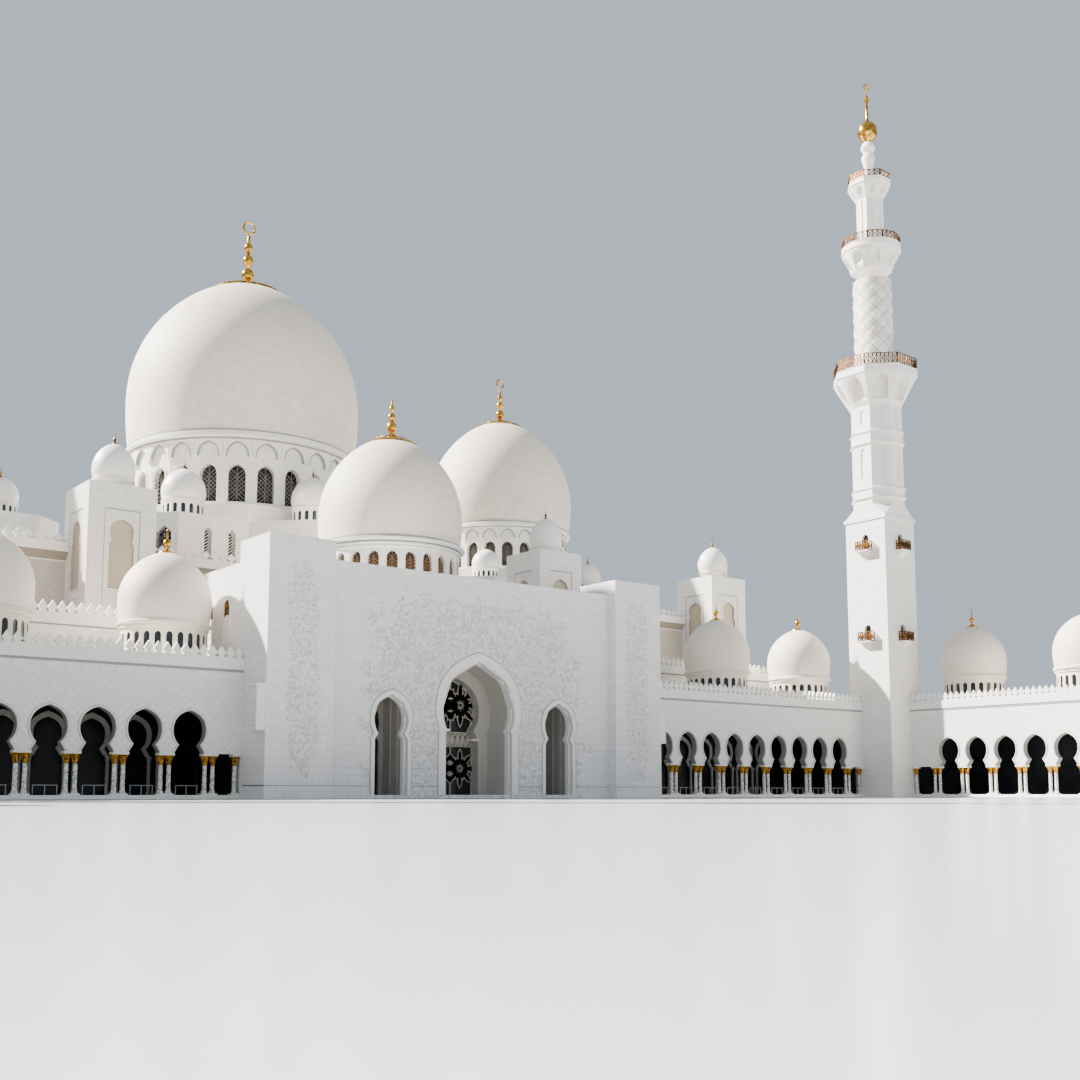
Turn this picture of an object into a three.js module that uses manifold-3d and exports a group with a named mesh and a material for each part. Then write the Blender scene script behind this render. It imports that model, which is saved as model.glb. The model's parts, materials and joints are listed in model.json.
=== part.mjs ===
// Marble mosque with three great domes, a portal, arcades and two minarets, as a 1:10 scale model.
// X runs along the courtyard front, Y goes into the building and Z is up.
// Sizes are measured from the ground, the entrance axis and the front face of the portal.
// The finished model is moved along Y so that its origin lies at the middle of its footprint.

import * as THREE from 'three';
import { ConvexGeometry } from 'three/addons/geometries/ConvexGeometry.js';
import { mergeVertices } from 'three/addons/utils/BufferGeometryUtils.js';
import Module from 'manifold-3d';

const wasm = await Module();
wasm.setup();

// Sizes below are metres of the real building, and METRE turns them into millimetres of the 1:10 model.
const METRE = 100;
const GAP = 0.003;

const marble = new THREE.MeshStandardMaterial({ color: 0xf1eee6, roughness: 0.45, metalness: 0 });
const glass = new THREE.MeshStandardMaterial({ color: 0x23262a, roughness: 0.12, metalness: 0 });
const gold = new THREE.MeshStandardMaterial({ color: 0xc99a3a, roughness: 0.28, metalness: 1 });

// Driving dimensions
const FLOOR = 0.35;
const WALL = 1.1;

const portal = {
  half: 25.25, pylonInner: 18.2, pylonBack: 6.2, pylonTop: 24.9, face: 1.3, faceTop: 23.3,
  sideTop: 22.8, roof: 22.0, slab: 0.9,
};
const bigArch = { foot: 4.3, corbel: 6.6, pinch: 4.15, neck: 7.1, wide: 4.65, wideAt: 9.2, apex: 14.3 };
const sideArch = {
  x: 10.85, foot: 1.93, corbel: 5.9, pinch: 1.55, neck: 6.45, wide: 2.02, wideAt: 8.0, apex: 10.4,
};
const porchArch = { foot: 2.9, corbel: 6.3, pinch: 2.3, neck: 7.3, wide: 3.0, wideAt: 9.3, apex: 12.9 };
const porch = { shell: 0.8, crown: 1.1, innerFace: 5.7, back: 6.9, screenLap: 0.4, screen: 0.2 };

const arcade = {
  middle: 47.41, half: 22.16 - GAP, front: 4.9, back: 19.0 - GAP, wall: 0.9, soffit: 4.2,
  bay: 4.25, bays: 9, roof: 12.0, slab: 0.7, top: 13.2, parapet: 0.5, domeY: 11.8,
};
const courtArcade = { face: 74.05, depth: 13.8, middle: -14.5, half: 14.42 - GAP, bays: 7 };
const bayArch = { foot: 1.5, corbel: 4.2, pinch: 1.05, neck: 4.95, wide: 1.62, wideAt: 6.35, apex: 8.2 };
const column = {
  radius: 0.27, apart: 0.95, overhang: 0.15, depth: 0.45, capital: 3.3, pier: 0.6, pierDepth: 0.4, step: 0.4,
};

const gallery = {
  front: 19.0, roof: 17.2, slab: 0.8, top: 18.1, outer: 69.3, inner: 25.25 + GAP, parapet: 0.6,
};
const hall = {
  half: 67.15, front: 30.8, back: 89.2, roof: 26.4, slab: 1.0, top: 27.4,
  windowHalf: 1.3, sill: 6, windowTop: 16, rearWindows: [-48, -24, 0, 24, 48], sideWindows: [45, 60, 75],
};
const tower = { half: 3.55, front: 24.5, top: 33.3, centres: [30.3, 63.6], wall: 0.8 };
const towerNiche = {
  sill: 22.0, foot: 1.35, corbel: 26.8, pinch: 1.07, neck: 27.15, wide: 1.31, wideAt: 28.3, apex: 29.5,
};
const towerDome = { radius: 2.25, drum: 2.05, rim: 0.9, height: 5.1, shell: 0.3 };
const serviceDoor = { half: 0.8, top: 3.2 };

const DOME_ROW = 60;
const SIDE_DOME_X = 46.5;
const ENTRANCE_DOME_Y = 19.5;
const WINDOWS = 24;
const MAIN_WINDOWS = 26;
const mainDome = {
  radius: 16.4, foot: 15.9, drum: 15.5, shell: 0.9, base: 37.9, rim: 47.7, rimRadius: 16.9, widest: 55.5,
  apex: 74.5, seat: 3.1, sill: 38.8, arch: 43.9, windowHalf: 1.1, around: 24, innerAround: 12, inner: 3,
};
const sideDome = {
  radius: 11.95, foot: 11.4, drum: 10.85, shell: 0.7, base: 35.6, rim: 42.9, rimRadius: 11.75, widest: 47.7,
  apex: 62.7, seat: 2.8, sill: 36.3, arch: 40.3, windowHalf: 0.9, around: 24, innerAround: 12, inner: 3,
};
const entranceDome = {
  radius: 8.5, foot: 8.3, drum: 8.05, shell: 0.6, base: 22.0, rim: 28.9, rimRadius: 8.85, widest: 32.2,
  apex: 42.7, seat: 2.3, sill: 23.6, arch: 27.6, windowHalf: 0.65, around: 24, innerAround: 12, inner: 3,
};
const arcadeDome = {
  radius: 4.41, foot: 4.2, drum: 3.95, shell: 0.4, base: 11.7, rim: 16.6, rimRadius: 4.6, widest: 19.0,
  apex: 24.0, seat: 0.9, sill: 13.4, arch: 16.0, windowHalf: 0.5, around: 12, innerAround: 6, inner: 1,
  windows: 6,
};
const PANE = 0.12;

// The tiers under the great domes and the small domes that stand on them
const mainTier = {
  half: 20.4, corner: 2.6, top: 34.8, wall: 1.0, bayReach: 26.9, bayTip: 2.0, windows: [14.0, 10.8],
};
const mainStep = { apothem: 17.2, top: 37.9 };
const sideTier = { half: 16.6, corner: 3.2, top: 32.8 };
const sideStep = { apothem: 12.2, top: 35.6 };
const lanternRing = { main: 21.3, side: 14.8 };
const mainLantern = { radius: 2.75, drum: 2.5, rim: 2.4, height: 6.8, shell: 0.35 };
const sideLantern = { radius: 2.1, drum: 1.9, rim: 2.1, height: 5.3, shell: 0.3 };

const minaret = {
  x: 73.0, y: 3.35, half: 3.43, squareTop: 39.85, octagonFrom: 41.7, octagon: 3.4, neck: 56.3,
  bore: 2.4, boreMiddle: 2.0, boreUpper: 1.2, gallery1: 62.5, gallery1Radius: 6.0, cylinder: 2.73,
  gallery2: 82.1, gallery2Radius: 4.2, upper: 1.84, gallery3: 91.9, gallery3Radius: 3.1, bulbTop: 97.8,
};
// Undersides of the three galleries, and the feet of the brackets under the second and the third one
const undersides = [59.6, 79.9, 90.2];
const brackets = [76.9, 88.4];
const belts = { reach: 0.4, lower: [42.45, 44.3], upper: [50.45, 52.7] };
const balcony = {
  levels: [21.9, 34.95], half: 1.1, reach: 1.1, slab: 0.25, rail: 1.4, edge: 0.15, door: 0.6, doorHeight: 2.6,
};
const crown = { ball: 1.47, ballAt: 99.4, bead: 104.6, ringAt: 106.45, ring: 0.5 };

// Shapes and solids

/** Turns a closed three.js geometry into a solid for joining and cutting. */
function solid(geometry) {
  geometry.deleteAttribute('normal');
  geometry.deleteAttribute('uv');
  const merged = mergeVertices(geometry, 1e-5);
  const corners = merged.index.array;
  const kept = [];
  for (let i = 0; i < corners.length; i += 3) {
    const [a, b, c] = [corners[i], corners[i + 1], corners[i + 2]];
    if (a !== b && b !== c && c !== a) kept.push(a, b, c);
  }
  const points = merged.attributes.position.array;
  const triangles = volumeOf(points, kept) < 0 ? kept.reverse() : kept;
  return new wasm.Manifold(new wasm.Mesh({
    numProp: 3, vertProperties: new Float32Array(points), triVerts: new Uint32Array(triangles),
  }));
}

/** Six times the signed volume inside a closed list of triangles. */
function volumeOf(points, corners) {
  let sum = 0;
  for (let i = 0; i < corners.length; i += 3) {
    const [a, b, c] = [0, 1, 2].map((k) => new THREE.Vector3().fromArray(points, corners[i + k] * 3));
    sum += a.dot(b.cross(c));
  }
  return sum;
}

function join(...solids) {
  return solids.reduce((all, one) => all.add(one));
}

function cut(body, ...tools) {
  return tools.reduce((left, tool) => left.subtract(tool), body);
}

/** A box between two corners. */
function block(x0, x1, y0, y1, z0, z1) {
  const box = new THREE.BoxGeometry(x1 - x0, y1 - y0, z1 - z0);
  return solid(box.translate((x0 + x1) / 2, (y0 + y1) / 2, (z0 + z1) / 2));
}

/** An outline drawn from above, standing between two levels. */
function prism(outline, z0, z1) {
  const shape = new THREE.Shape(outline.map(([x, y]) => new THREE.Vector2(x, y)));
  const body = new THREE.ExtrudeGeometry(shape, { depth: z1 - z0, bevelEnabled: false });
  return solid(body.translate(0, 0, z0));
}

/** An upright outline in X and Z, with its front at y and the given thickness behind it. */
function panel(shape, y, thickness, curveSegments = 2) {
  const body = new THREE.ExtrudeGeometry(shape, { depth: thickness, bevelEnabled: false, curveSegments });
  return solid(body.rotateX(Math.PI / 2).translate(0, y + thickness, 0));
}

/** A closed profile of [radius, level] points turned about the Z axis. */
function turned(profile, around, turn = 0) {
  const points = [...profile, profile[0]].map(([r, z]) => new THREE.Vector2(r, z));
  return solid(new THREE.LatheGeometry(points, around).rotateX(Math.PI / 2).rotateZ(turn));
}

/** Adds a keyhole arch to an outline that runs along X, from its left foot to its right one. */
function addArch(shape, x, arch, foot) {
  const rise = arch.apex - arch.wideAt;
  const waist = arch.neck + 0.4 * (arch.wideAt - arch.neck);
  shape.lineTo(x - arch.foot, foot);
  if (arch.corbel > foot) shape.lineTo(x - arch.foot, arch.corbel);
  shape.lineTo(x - arch.pinch, arch.neck);
  shape.quadraticCurveTo(x - arch.wide, waist, x - arch.wide, arch.wideAt);
  shape.quadraticCurveTo(x - arch.wide, arch.wideAt + 0.75 * rise, x, arch.apex);
  shape.quadraticCurveTo(x + arch.wide, arch.wideAt + 0.75 * rise, x + arch.wide, arch.wideAt);
  shape.quadraticCurveTo(x + arch.wide, waist, x + arch.pinch, arch.neck);
  if (arch.corbel > foot) shape.lineTo(x + arch.foot, arch.corbel);
  shape.lineTo(x + arch.foot, foot);
}

/** A keyhole arch as a solid, for cutting it through a wall between two depths. */
function archTool(x, arch, foot, y0, y1, segments = 2) {
  const shape = new THREE.Shape();
  shape.moveTo(x - arch.foot, foot);
  addArch(shape, x, arch, foot);
  return panel(shape, y0, y1 - y0, segments);
}

/** A wall with keyhole arches along its lower edge. */
function archedWall(x0, x1, z0, z1, y, thickness, arches, segments = 2) {
  const shape = new THREE.Shape();
  shape.moveTo(x0, z0);
  for (const [x, arch] of arches) addArch(shape, x, arch, z0);
  shape.lineTo(x1, z0);
  shape.lineTo(x1, z1);
  shape.lineTo(x0, z1);
  shape.closePath();
  return panel(shape, y, thickness, segments);
}

/** Window cutters right across a round drum, so that each one opens two windows. */
function drumWindows(dome, count) {
  const { sill, arch, windowHalf: half } = dome;
  const spring = arch - half;
  const shape = new THREE.Shape([
    [-half, sill], [half, sill], [half, spring], [0, arch], [-half, spring],
  ].map(([x, z]) => new THREE.Vector2(x, z)));
  const reach = dome.rimRadius + 1;
  const tools = [];
  for (let i = 0; i < count / 2; i += 1) {
    const body = new THREE.ExtrudeGeometry(shape, { depth: 2 * reach, bevelEnabled: false });
    body.rotateX(Math.PI / 2).translate(0, reach, 0).rotateZ((i * 2 * Math.PI) / count);
    tools.push(solid(body));
  }
  return tools;
}

// How fast a dome narrows and how early it rises above its widest level, where 1 would be an ellipse
const DOME_TAPER = 1.2;
const DOME_RISE = 0.96;

/** Points of a bulging dome from its foot to its flat crown, on the outside or inside of the shell. */
function domeCurve(dome, inset, lower, upper) {
  const points = [];
  const widest = dome.radius - inset;
  const foot = dome.foot - inset;
  for (let i = 0; i < lower; i += 1) {
    const a = (i / lower) * (Math.PI / 2);
    const level = dome.rim + (dome.widest - dome.rim) * (i / lower);
    points.push([foot + (widest - foot) * Math.sin(a), level]);
  }
  const rise = dome.apex - inset - dome.widest;
  const last = Math.acos((dome.seat / widest) ** (1 / DOME_TAPER));
  for (let i = 0; i <= upper; i += 1) {
    const a = (i / upper) * last;
    points.push([widest * Math.cos(a) ** DOME_TAPER, dome.widest + rise * Math.sin(a) ** DOME_RISE]);
  }
  return points;
}

/** A drum with its bead, windows and hollow bulging dome, standing on the level dome.base. */
function domedDrum(dome, windows, lower, upper) {
  const foot = dome.base + GAP;
  const bead = 0.03 * dome.radius;
  const outside = domeCurve({ ...dome, rim: dome.rim + bead }, 0, lower, upper);
  const crown = outside[outside.length - 1][1];
  const body = turned([
    [0, foot], [dome.drum, foot], [dome.drum, dome.rim - bead], [dome.rimRadius, dome.rim],
    ...outside, [0, crown],
  ], dome.around, Math.PI / dome.around);
  const inside = domeCurve(dome, dome.shell, 1, dome.inner);
  const ceiling = crown - dome.shell;
  const room = turned([
    [0, foot - 1], [dome.drum - dome.shell, foot - 1], ...inside.slice(0, -1),
    [dome.seat, ceiling], [0, ceiling],
  ], dome.innerAround, Math.PI / dome.innerAround);
  return cut(body, room, ...drumWindows(dome, windows));
}

/** A thin ring of glass that stands inside a drum and closes its windows. */
function drumGlass(dome) {
  const around = dome.innerAround;
  const outer = dome.drum - dome.shell - GAP / Math.cos(Math.PI / around);
  const inner = outer - PANE;
  const [low, high] = [dome.base + GAP, dome.arch + 0.3];
  return turned([[outer, low], [outer, high], [inner, high], [inner, low]], around, Math.PI / around);
}

// How much less a corner's cut becomes for each metre that a square with cut corners is inset
const CHAMFER = 2 - Math.SQRT2;

/** A square with its four corners cut off, about the origin. */
function chamferedSquare(half, corner) {
  const short = half - corner;
  return [
    [-short, -half], [short, -half], [half, -short], [half, short],
    [short, half], [-short, half], [-half, short], [-half, -short],
  ];
}

function octagon(apothem, x = 0, y = 0) {
  const radius = apothem / Math.cos(Math.PI / 8);
  return Array.from({ length: 8 }, (_, i) => {
    const a = Math.PI / 8 + (i * Math.PI) / 4;
    return [x + radius * Math.cos(a), y + radius * Math.sin(a)];
  });
}

function moved(outline, x, y) {
  return outline.map(([px, py]) => [px + x, py + y]);
}

/** A small dome on a short drum that starts at the level low. */
function lantern(size, z, low, around = 8) {
  const top = z + size.height;
  const widest = z + size.rim + (size.height - size.rim) * 0.3;
  const profile = [
    [0, low], [size.drum, low], [size.drum, z + size.rim], [size.radius, widest],
    [0.74 * size.radius, widest + 0.54 * (top - widest)], [0, top],
  ];
  return turned(profile, around);
}

// Sub-assemblies

const model = new THREE.Group();
const FOOTPRINT_MIDDLE = (hall.back + courtArcade.middle - courtArcade.half) / 2;

/** Adds one named piece at its place in the building. */
function piece(name, body, material, x = 0, y = 0, turn = 0) {
  const mesh = body.getMesh();
  const geometry = new THREE.BufferGeometry();
  const points = Float32Array.from(mesh.vertProperties, (value) => value * METRE);
  geometry.setAttribute('position', new THREE.BufferAttribute(points, 3));
  geometry.setIndex(new THREE.BufferAttribute(new Uint32Array(mesh.triVerts), 1));
  geometry.computeVertexNormals();
  const part = new THREE.Mesh(geometry, material);
  part.name = name;
  part.position.set(x * METRE, (y - FOOTPRINT_MIDDLE) * METRE, 0);
  part.rotation.z = turn;
  model.add(part);
}

/** Level of the flat seat on a dome's crown, where its finial stands. */
function seatLevel(dome) {
  return domeCurve(dome, 0, 1, 1).pop()[1];
}

/** A turned finial: a flared cap, swelling bulbs on a neck, and a point or a blunt end that holds a ring. */
function finial({ cap, foot, neck, bulbs, tip, blunt = 0 }, around) {
  const room = bulbs[0][0] - 1.15 * bulbs[0][1] - foot;
  const flare = Math.min(0.62 * cap, room);
  const profile = [[0, foot], [cap, foot], [0.45 * cap, foot + 0.45 * flare], [neck, foot + flare]];
  for (const [level, radius] of bulbs) {
    profile.push([neck, level - 1.05 * radius], [radius, level], [neck, level + 1.05 * radius]);
  }
  if (blunt > 0) profile.push([blunt, tip]);
  profile.push([0, tip]);
  return turned(profile, around);
}

/** An open moon ring that stands upright on the tip of a finial. */
function ring(radius, thickness, level) {
  const circle = new THREE.TorusGeometry(radius, thickness, 4, 12);
  return solid(circle.rotateX(Math.PI / 2).translate(0, 0, level));
}

function buildPortal() {
  const p = { ...portal, back: hall.front - GAP };
  const wing = p.pylonInner + 0.5;
  const outline = [
    [-p.half, 0], [-p.pylonInner, 0], [-p.pylonInner, p.face], [p.pylonInner, p.face], [p.pylonInner, 0],
    [p.half, 0], [p.half, p.back], [-p.half, p.back],
  ];
  const inside = p.half - WALL;
  const shell = prism(outline, 0, p.sideTop);
  const facade = block(-wing, wing, p.face, p.face + WALL, p.sideTop - 1, p.faceTop);
  const room = block(-inside, inside, p.face + WALL, p.back - WALL, FLOOR, p.roof - p.slab);
  const roofWell = block(-inside, inside, p.pylonBack + 0.2, p.back - WALL, p.roof, p.sideTop + 1);
  const domeOpening = cylinder(entranceDome.drum - entranceDome.shell, p.roof - 2, p.roof + 2, 24);
  let body = join(shell, facade);
  let hollows = join(room, roofWell, domeOpening.translate([0, ENTRANCE_DOME_Y, 0]));
  for (const side of [-1, 1]) {
    const middle = side * (p.half + p.pylonInner) / 2;
    const half = (p.half - p.pylonInner) / 2;
    const [x0, x1] = [middle - half, middle + half];
    body = body.add(block(x0, x1, 0, p.pylonBack, 0, p.pylonTop));
    hollows = hollows.add(block(x0 + WALL, x1 - WALL, WALL, p.pylonBack - WALL, FLOOR, p.pylonTop - p.slab));
  }
  const front = [-1, p.face + WALL + 0.5];
  const doors = [
    archTool(0, bigArch, FLOOR, ...front),
    archTool(-sideArch.x, sideArch, FLOOR, ...front),
    archTool(sideArch.x, sideArch, FLOOR, ...front),
    archTool(0, bigArch, FLOOR, p.back - 2, p.back + 1),
  ];
  piece('portal_block', cut(body, hollows, ...doors), marble);
}

function buildPorch() {
  const start = portal.face + WALL + GAP;
  const foot = FLOOR + GAP;
  const wide = bigArch.wide + porch.shell;
  const outer = { ...bigArch, foot: wide, pinch: wide, wide, apex: bigArch.apex + porch.crown };
  const vault = archTool(0, outer, foot, start, porch.back);
  const passage = archTool(0, bigArch, foot - 1, start - 1, porch.innerFace);
  const doorway = archTool(0, porchArch, foot - 1, porch.innerFace - 1, porch.back + 1);
  piece('portal_porch', cut(vault, passage, doorway), marble);
  const half = porchArch.wide + porch.screenLap;
  const front = porch.back + GAP;
  const top = porchArch.apex + porch.screenLap;
  piece('portal_screen', block(-half, half, front, front + porch.screen, foot, top), glass);
}

function cylinder(radius, z0, z1, around) {
  return turned([[0, z0], [radius, z0], [radius, z1], [0, z1]], around);
}

function buildEntranceDome() {
  piece('entrance_dome', domedDrum(entranceDome, WINDOWS, 1, 5), marble, 0, ENTRANCE_DOME_Y);
  piece('entrance_dome_glass', drumGlass(entranceDome), glass, 0, ENTRANCE_DOME_Y);
  const foot = seatLevel(entranceDome) + GAP;
  const bulbs = [[44.05, 0.6], [45.25, 0.46], [46.3, 0.3]];
  const size = { cap: entranceDome.seat, foot, neck: 0.16, bulbs, tip: 47.6 };
  piece('entrance_finial', finial(size, 6), gold, 0, ENTRANCE_DOME_Y);
}

/** The outline of a tier's front and back bays, which come to a blunt point on the dome's axis. */
function bayOutline(reach, tip, root) {
  const wide = tip + reach - root;
  return [
    [-wide, -root], [-tip, -reach], [tip, -reach], [wide, -root],
    [wide, root], [tip, reach], [-tip, reach], [-wide, root],
  ];
}

/** The main tier, or a solid inset from it: a square with pointed bays front and back. */
function mainTierSolid(inset, z0, z1) {
  const corner = mainTier.corner - CHAMFER * inset;
  const tip = mainTier.bayTip - Math.tan(Math.PI / 8) * inset;
  const square = prism(chamferedSquare(mainTier.half - inset, corner), z0, z1);
  return join(square, prism(bayOutline(mainTier.bayReach - inset, tip, 17), z0, z1));
}

/** The round, windowed lanterns that stand about a dome, and the hollows inside them. */
function lanterns(size, level, places, around) {
  const shell = lantern(size, level, level - 0.5, around);
  const hollow = cylinder(size.drum - size.shell, level - 3, level + 0.5 * size.height, 4);
  return {
    shells: places.map(([x, y]) => shell.translate([x, y, 0])),
    hollows: places.map(([x, y]) => hollow.translate([x, y, 0])),
  };
}

function ringPlaces(radius, degrees, x, y) {
  return degrees.map((angle) => {
    const a = THREE.MathUtils.degToRad(angle);
    return [x + radius * Math.cos(a), y + radius * Math.sin(a)];
  });
}

/** A five-sided window shape with a pointed head, cut through both walls along Y. */
function windowTool(x, half, sill, top, y0, y1) {
  const shape = new THREE.Shape([
    [x - half, sill], [x + half, sill], [x + half, top - half], [x, top], [x - half, top - half],
  ].map(([px, z]) => new THREE.Vector2(px, z)));
  return panel(shape, y0, y1 - y0);
}

function buildHallWalls() {
  const h = hall;
  const wallTop = h.roof - h.slab;
  let body = cut(
    block(-h.half, h.half, h.front, h.back, 0, wallTop),
    block(-h.half + WALL, h.half - WALL, h.front + WALL, h.back - WALL, FLOOR, wallTop + 1),
  );
  let hollows = archTool(0, bigArch, FLOOR, h.front - 1, h.front + WALL + 1);
  for (const x of h.rearWindows) {
    hollows = hollows.add(windowTool(x, h.windowHalf, h.sill, h.windowTop, h.back - 3, h.back + 1));
  }
  for (const y of h.sideWindows) {
    const tool = windowTool(0, h.windowHalf, h.sill, h.windowTop, -h.half - 1, h.half + 1);
    hollows = hollows.add(tool.rotate([0, 0, 90]).translate([0, y, 0]));
  }
  for (const x of tower.centres.flatMap((c) => [-c, c])) {
    const { shell, hollow } = towerSolids();
    body = body.add(shell.translate([x, 0, 0]));
    hollows = hollows.add(hollow.translate([x, 0, 0]));
  }
  piece('prayer_hall_walls', cut(body, hollows), marble);
}

/** One corner tower of the hall front, at X = 0, with the room and the niches that are cut from it. */
function towerSolids() {
  const { half, front, wall, top } = tower;
  const back = hall.front - GAP;
  const shaft = block(-half, half, front, back, 0, top);
  const bond = block(-half, half, back - 1, hall.front + 0.5, 0, hall.roof - hall.slab - GAP);
  const middle = (front + back) / 2;
  const dome = lantern(towerDome, top, top - 0.4).translate([0, middle, 0]);
  const room = block(-half + wall, half - wall, front + wall, back - wall, FLOOR, top - wall);
  const bore = towerDome.drum - towerDome.shell;
  const domeRoom = cylinder(bore, top - wall - 0.5, top + 0.5 * towerDome.height, 4);
  const { half: doorHalf, top: doorTop } = serviceDoor;
  const door = block(-doorHalf, doorHalf, back - 2, hall.front + WALL + 1, FLOOR, doorTop);
  const depth = 0.35;
  const niche = () => archTool(0, towerNiche, towerNiche.sill, -half - 1, -half + depth);
  const niches = [0, 90, -90].map((turn) => niche().rotate([0, 0, turn]).translate([0, front + half, 0]));
  const hollow = join(room, domeRoom.translate([0, middle, 0]), door, ...niches);
  return { shell: join(shaft, bond, dome), hollow };
}

function buildHallRoof() {
  const h = hall;
  const low = h.roof - h.slab + GAP;
  const slab = block(-h.half, h.half, h.front, h.back, low, h.top);
  const edge = 0.6;
  const roofWell = block(-h.half + edge, h.half - edge, h.front + edge, h.back - edge, h.roof, h.top + 1);
  const tiers = [mainTierSolid(0, low + 0.2, mainTier.top).translate([0, DOME_ROW, 0])];
  const mainEye = cylinder(mainDome.drum - mainDome.shell, mainStep.top - 2, mainStep.top + 1, 24);
  const hollows = [
    mainTierSolid(mainTier.wall, low - 1, mainTier.top - 0.8).translate([0, DOME_ROW, 0]),
    prism(moved(octagon(mainStep.apothem - 1), 0, DOME_ROW), mainTier.top - 1, mainStep.top - 0.8),
    mainEye.translate([0, DOME_ROW, 0]),
  ];
  tiers.push(prism(moved(octagon(mainStep.apothem), 0, DOME_ROW), mainTier.top - 0.5, mainStep.top));
  const mainPlaces = ringPlaces(lanternRing.main, [-135, -90, -45, 45, 90, 135], 0, DOME_ROW);
  const main = lanterns(mainLantern, mainTier.top, mainPlaces, 8);
  tiers.push(...main.shells);
  hollows.push(...main.hollows);
  for (const side of [-SIDE_DOME_X, SIDE_DOME_X]) {
    const square = moved(chamferedSquare(sideTier.half, sideTier.corner), side, DOME_ROW);
    const room = moved(chamferedSquare(sideTier.half - 1, sideTier.corner - CHAMFER), side, DOME_ROW);
    const step = moved(octagon(sideStep.apothem - 1), side, DOME_ROW);
    tiers.push(prism(square, low + 0.2, sideTier.top));
    tiers.push(prism(moved(octagon(sideStep.apothem), side, DOME_ROW), sideTier.top - 0.5, sideStep.top));
    hollows.push(prism(room, low - 1, sideTier.top - 0.8));
    hollows.push(prism(step, sideTier.top - 1, sideStep.top - 0.8));
    const eye = cylinder(sideDome.drum - sideDome.shell, sideStep.top - 2, sideStep.top + 1, 24);
    hollows.push(eye.translate([side, DOME_ROW, 0]));
    const places = ringPlaces(lanternRing.side, [-135, -45, 45, 135], side, DOME_ROW);
    const small = lanterns(sideLantern, sideTier.top, places, 6);
    tiers.push(...small.shells);
    hollows.push(...small.hollows);
  }
  const reach = mainTier.bayReach + 2;
  for (const x of mainTier.windows.flatMap((v) => [-v, v])) {
    hollows.push(windowTool(x, 0.5, 28.4, 33.4, DOME_ROW - reach, DOME_ROW + reach));
  }
  for (const turn of [45, -45]) {
    const window = windowTool(0, 1.0, 28.4, 33.2, -reach - 3, reach + 3);
    hollows.push(window.rotate([0, 0, turn]).translate([0, DOME_ROW, 0]));
  }
  piece('prayer_hall_roof', cut(join(cut(slab, roofWell), ...tiers), ...hollows), marble);
  const outer = mainTierSolid(mainTier.wall + GAP, 28.0, 33.8);
  const inner = mainTierSolid(mainTier.wall + GAP + PANE, 27.0, 34.8);
  piece('main_tier_glass', cut(outer, inner).translate([0, DOME_ROW, 0]), glass);
}

function buildGreatDomes() {
  piece('main_dome', domedDrum(mainDome, MAIN_WINDOWS, 2, 6), marble, 0, DOME_ROW);
  piece('main_dome_glass', drumGlass(mainDome), glass, 0, DOME_ROW);
  const bulbs = [[76.4, 0.9], [78.6, 0.75], [80.6, 0.62]];
  const mainFoot = seatLevel(mainDome) + GAP;
  const main = { cap: mainDome.seat, foot: mainFoot, neck: 0.25, bulbs, tip: 82.86, blunt: 0.05 };
  piece('main_finial', join(finial(main, 6), ring(0.9, 0.15, 83.75)), gold, 0, DOME_ROW);
  for (const [side, x] of [['left', -SIDE_DOME_X], ['right', SIDE_DOME_X]]) {
    piece(`side_dome_${side}`, domedDrum(sideDome, WINDOWS, 1, 5), marble, x, DOME_ROW);
    piece(`side_dome_glass_${side}`, drumGlass(sideDome), glass, x, DOME_ROW);
    const beads = [[64.1, 0.7], [65.7, 0.55], [67.0, 0.4]];
    const foot = seatLevel(sideDome) + GAP;
    const size = { cap: sideDome.seat, foot, neck: 0.2, bulbs: beads, tip: 68.79, blunt: 0.04 };
    piece(`side_finial_${side}`, join(finial(size, 6), ring(0.72, 0.1, 69.5)), gold, x, DOME_ROW);
  }
}

function buildGalleries() {
  const g = gallery;
  const inner = tower.centres[0] + tower.half + GAP;
  const outer = tower.centres[1] - tower.half - GAP;
  const step = tower.front - GAP;
  const back = hall.front - GAP;
  const outline = [
    [g.inner, g.front], [g.outer, g.front], [g.outer, step], [outer, step],
    [outer, back], [inner, back], [inner, step], [g.inner, step],
  ];
  for (const [side, sign] of [['left', -1], ['right', 1]]) {
    const shell = prism(outline.map(([x, y]) => [sign * x, y]), 0, g.top);
    const room = (x0, x1, edge, y1, z0, z1) => {
      const [a, b] = [sign * (x0 + edge), sign * (x1 - edge)];
      return block(Math.min(a, b), Math.max(a, b), g.front + edge, y1 - edge, z0, z1);
    };
    const hollows = join(
      room(g.inner, g.outer, WALL, step, FLOOR, g.roof - g.slab),
      room(inner, outer, WALL, back, FLOOR, g.roof - g.slab),
      room(g.inner, g.outer, g.parapet, step, g.roof, g.top + 1),
      room(inner, outer, g.parapet, back, g.roof, g.top + 1),
    );
    const doors = [-2, 0, 2].map((n) => {
      const x = sign * (arcade.middle + n * arcade.bay);
      return archTool(x, bayArch, FLOOR, g.front - 1, g.front + WALL + 1);
    });
    piece(`gallery_${side}`, cut(shell, hollows, ...doors), marble);
  }
}

/** Places of the arches along an arcade, centred on zero. */
function bays(count) {
  return Array.from({ length: count }, (_, i) => (i - (count - 1) / 2) * arcade.bay);
}

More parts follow.
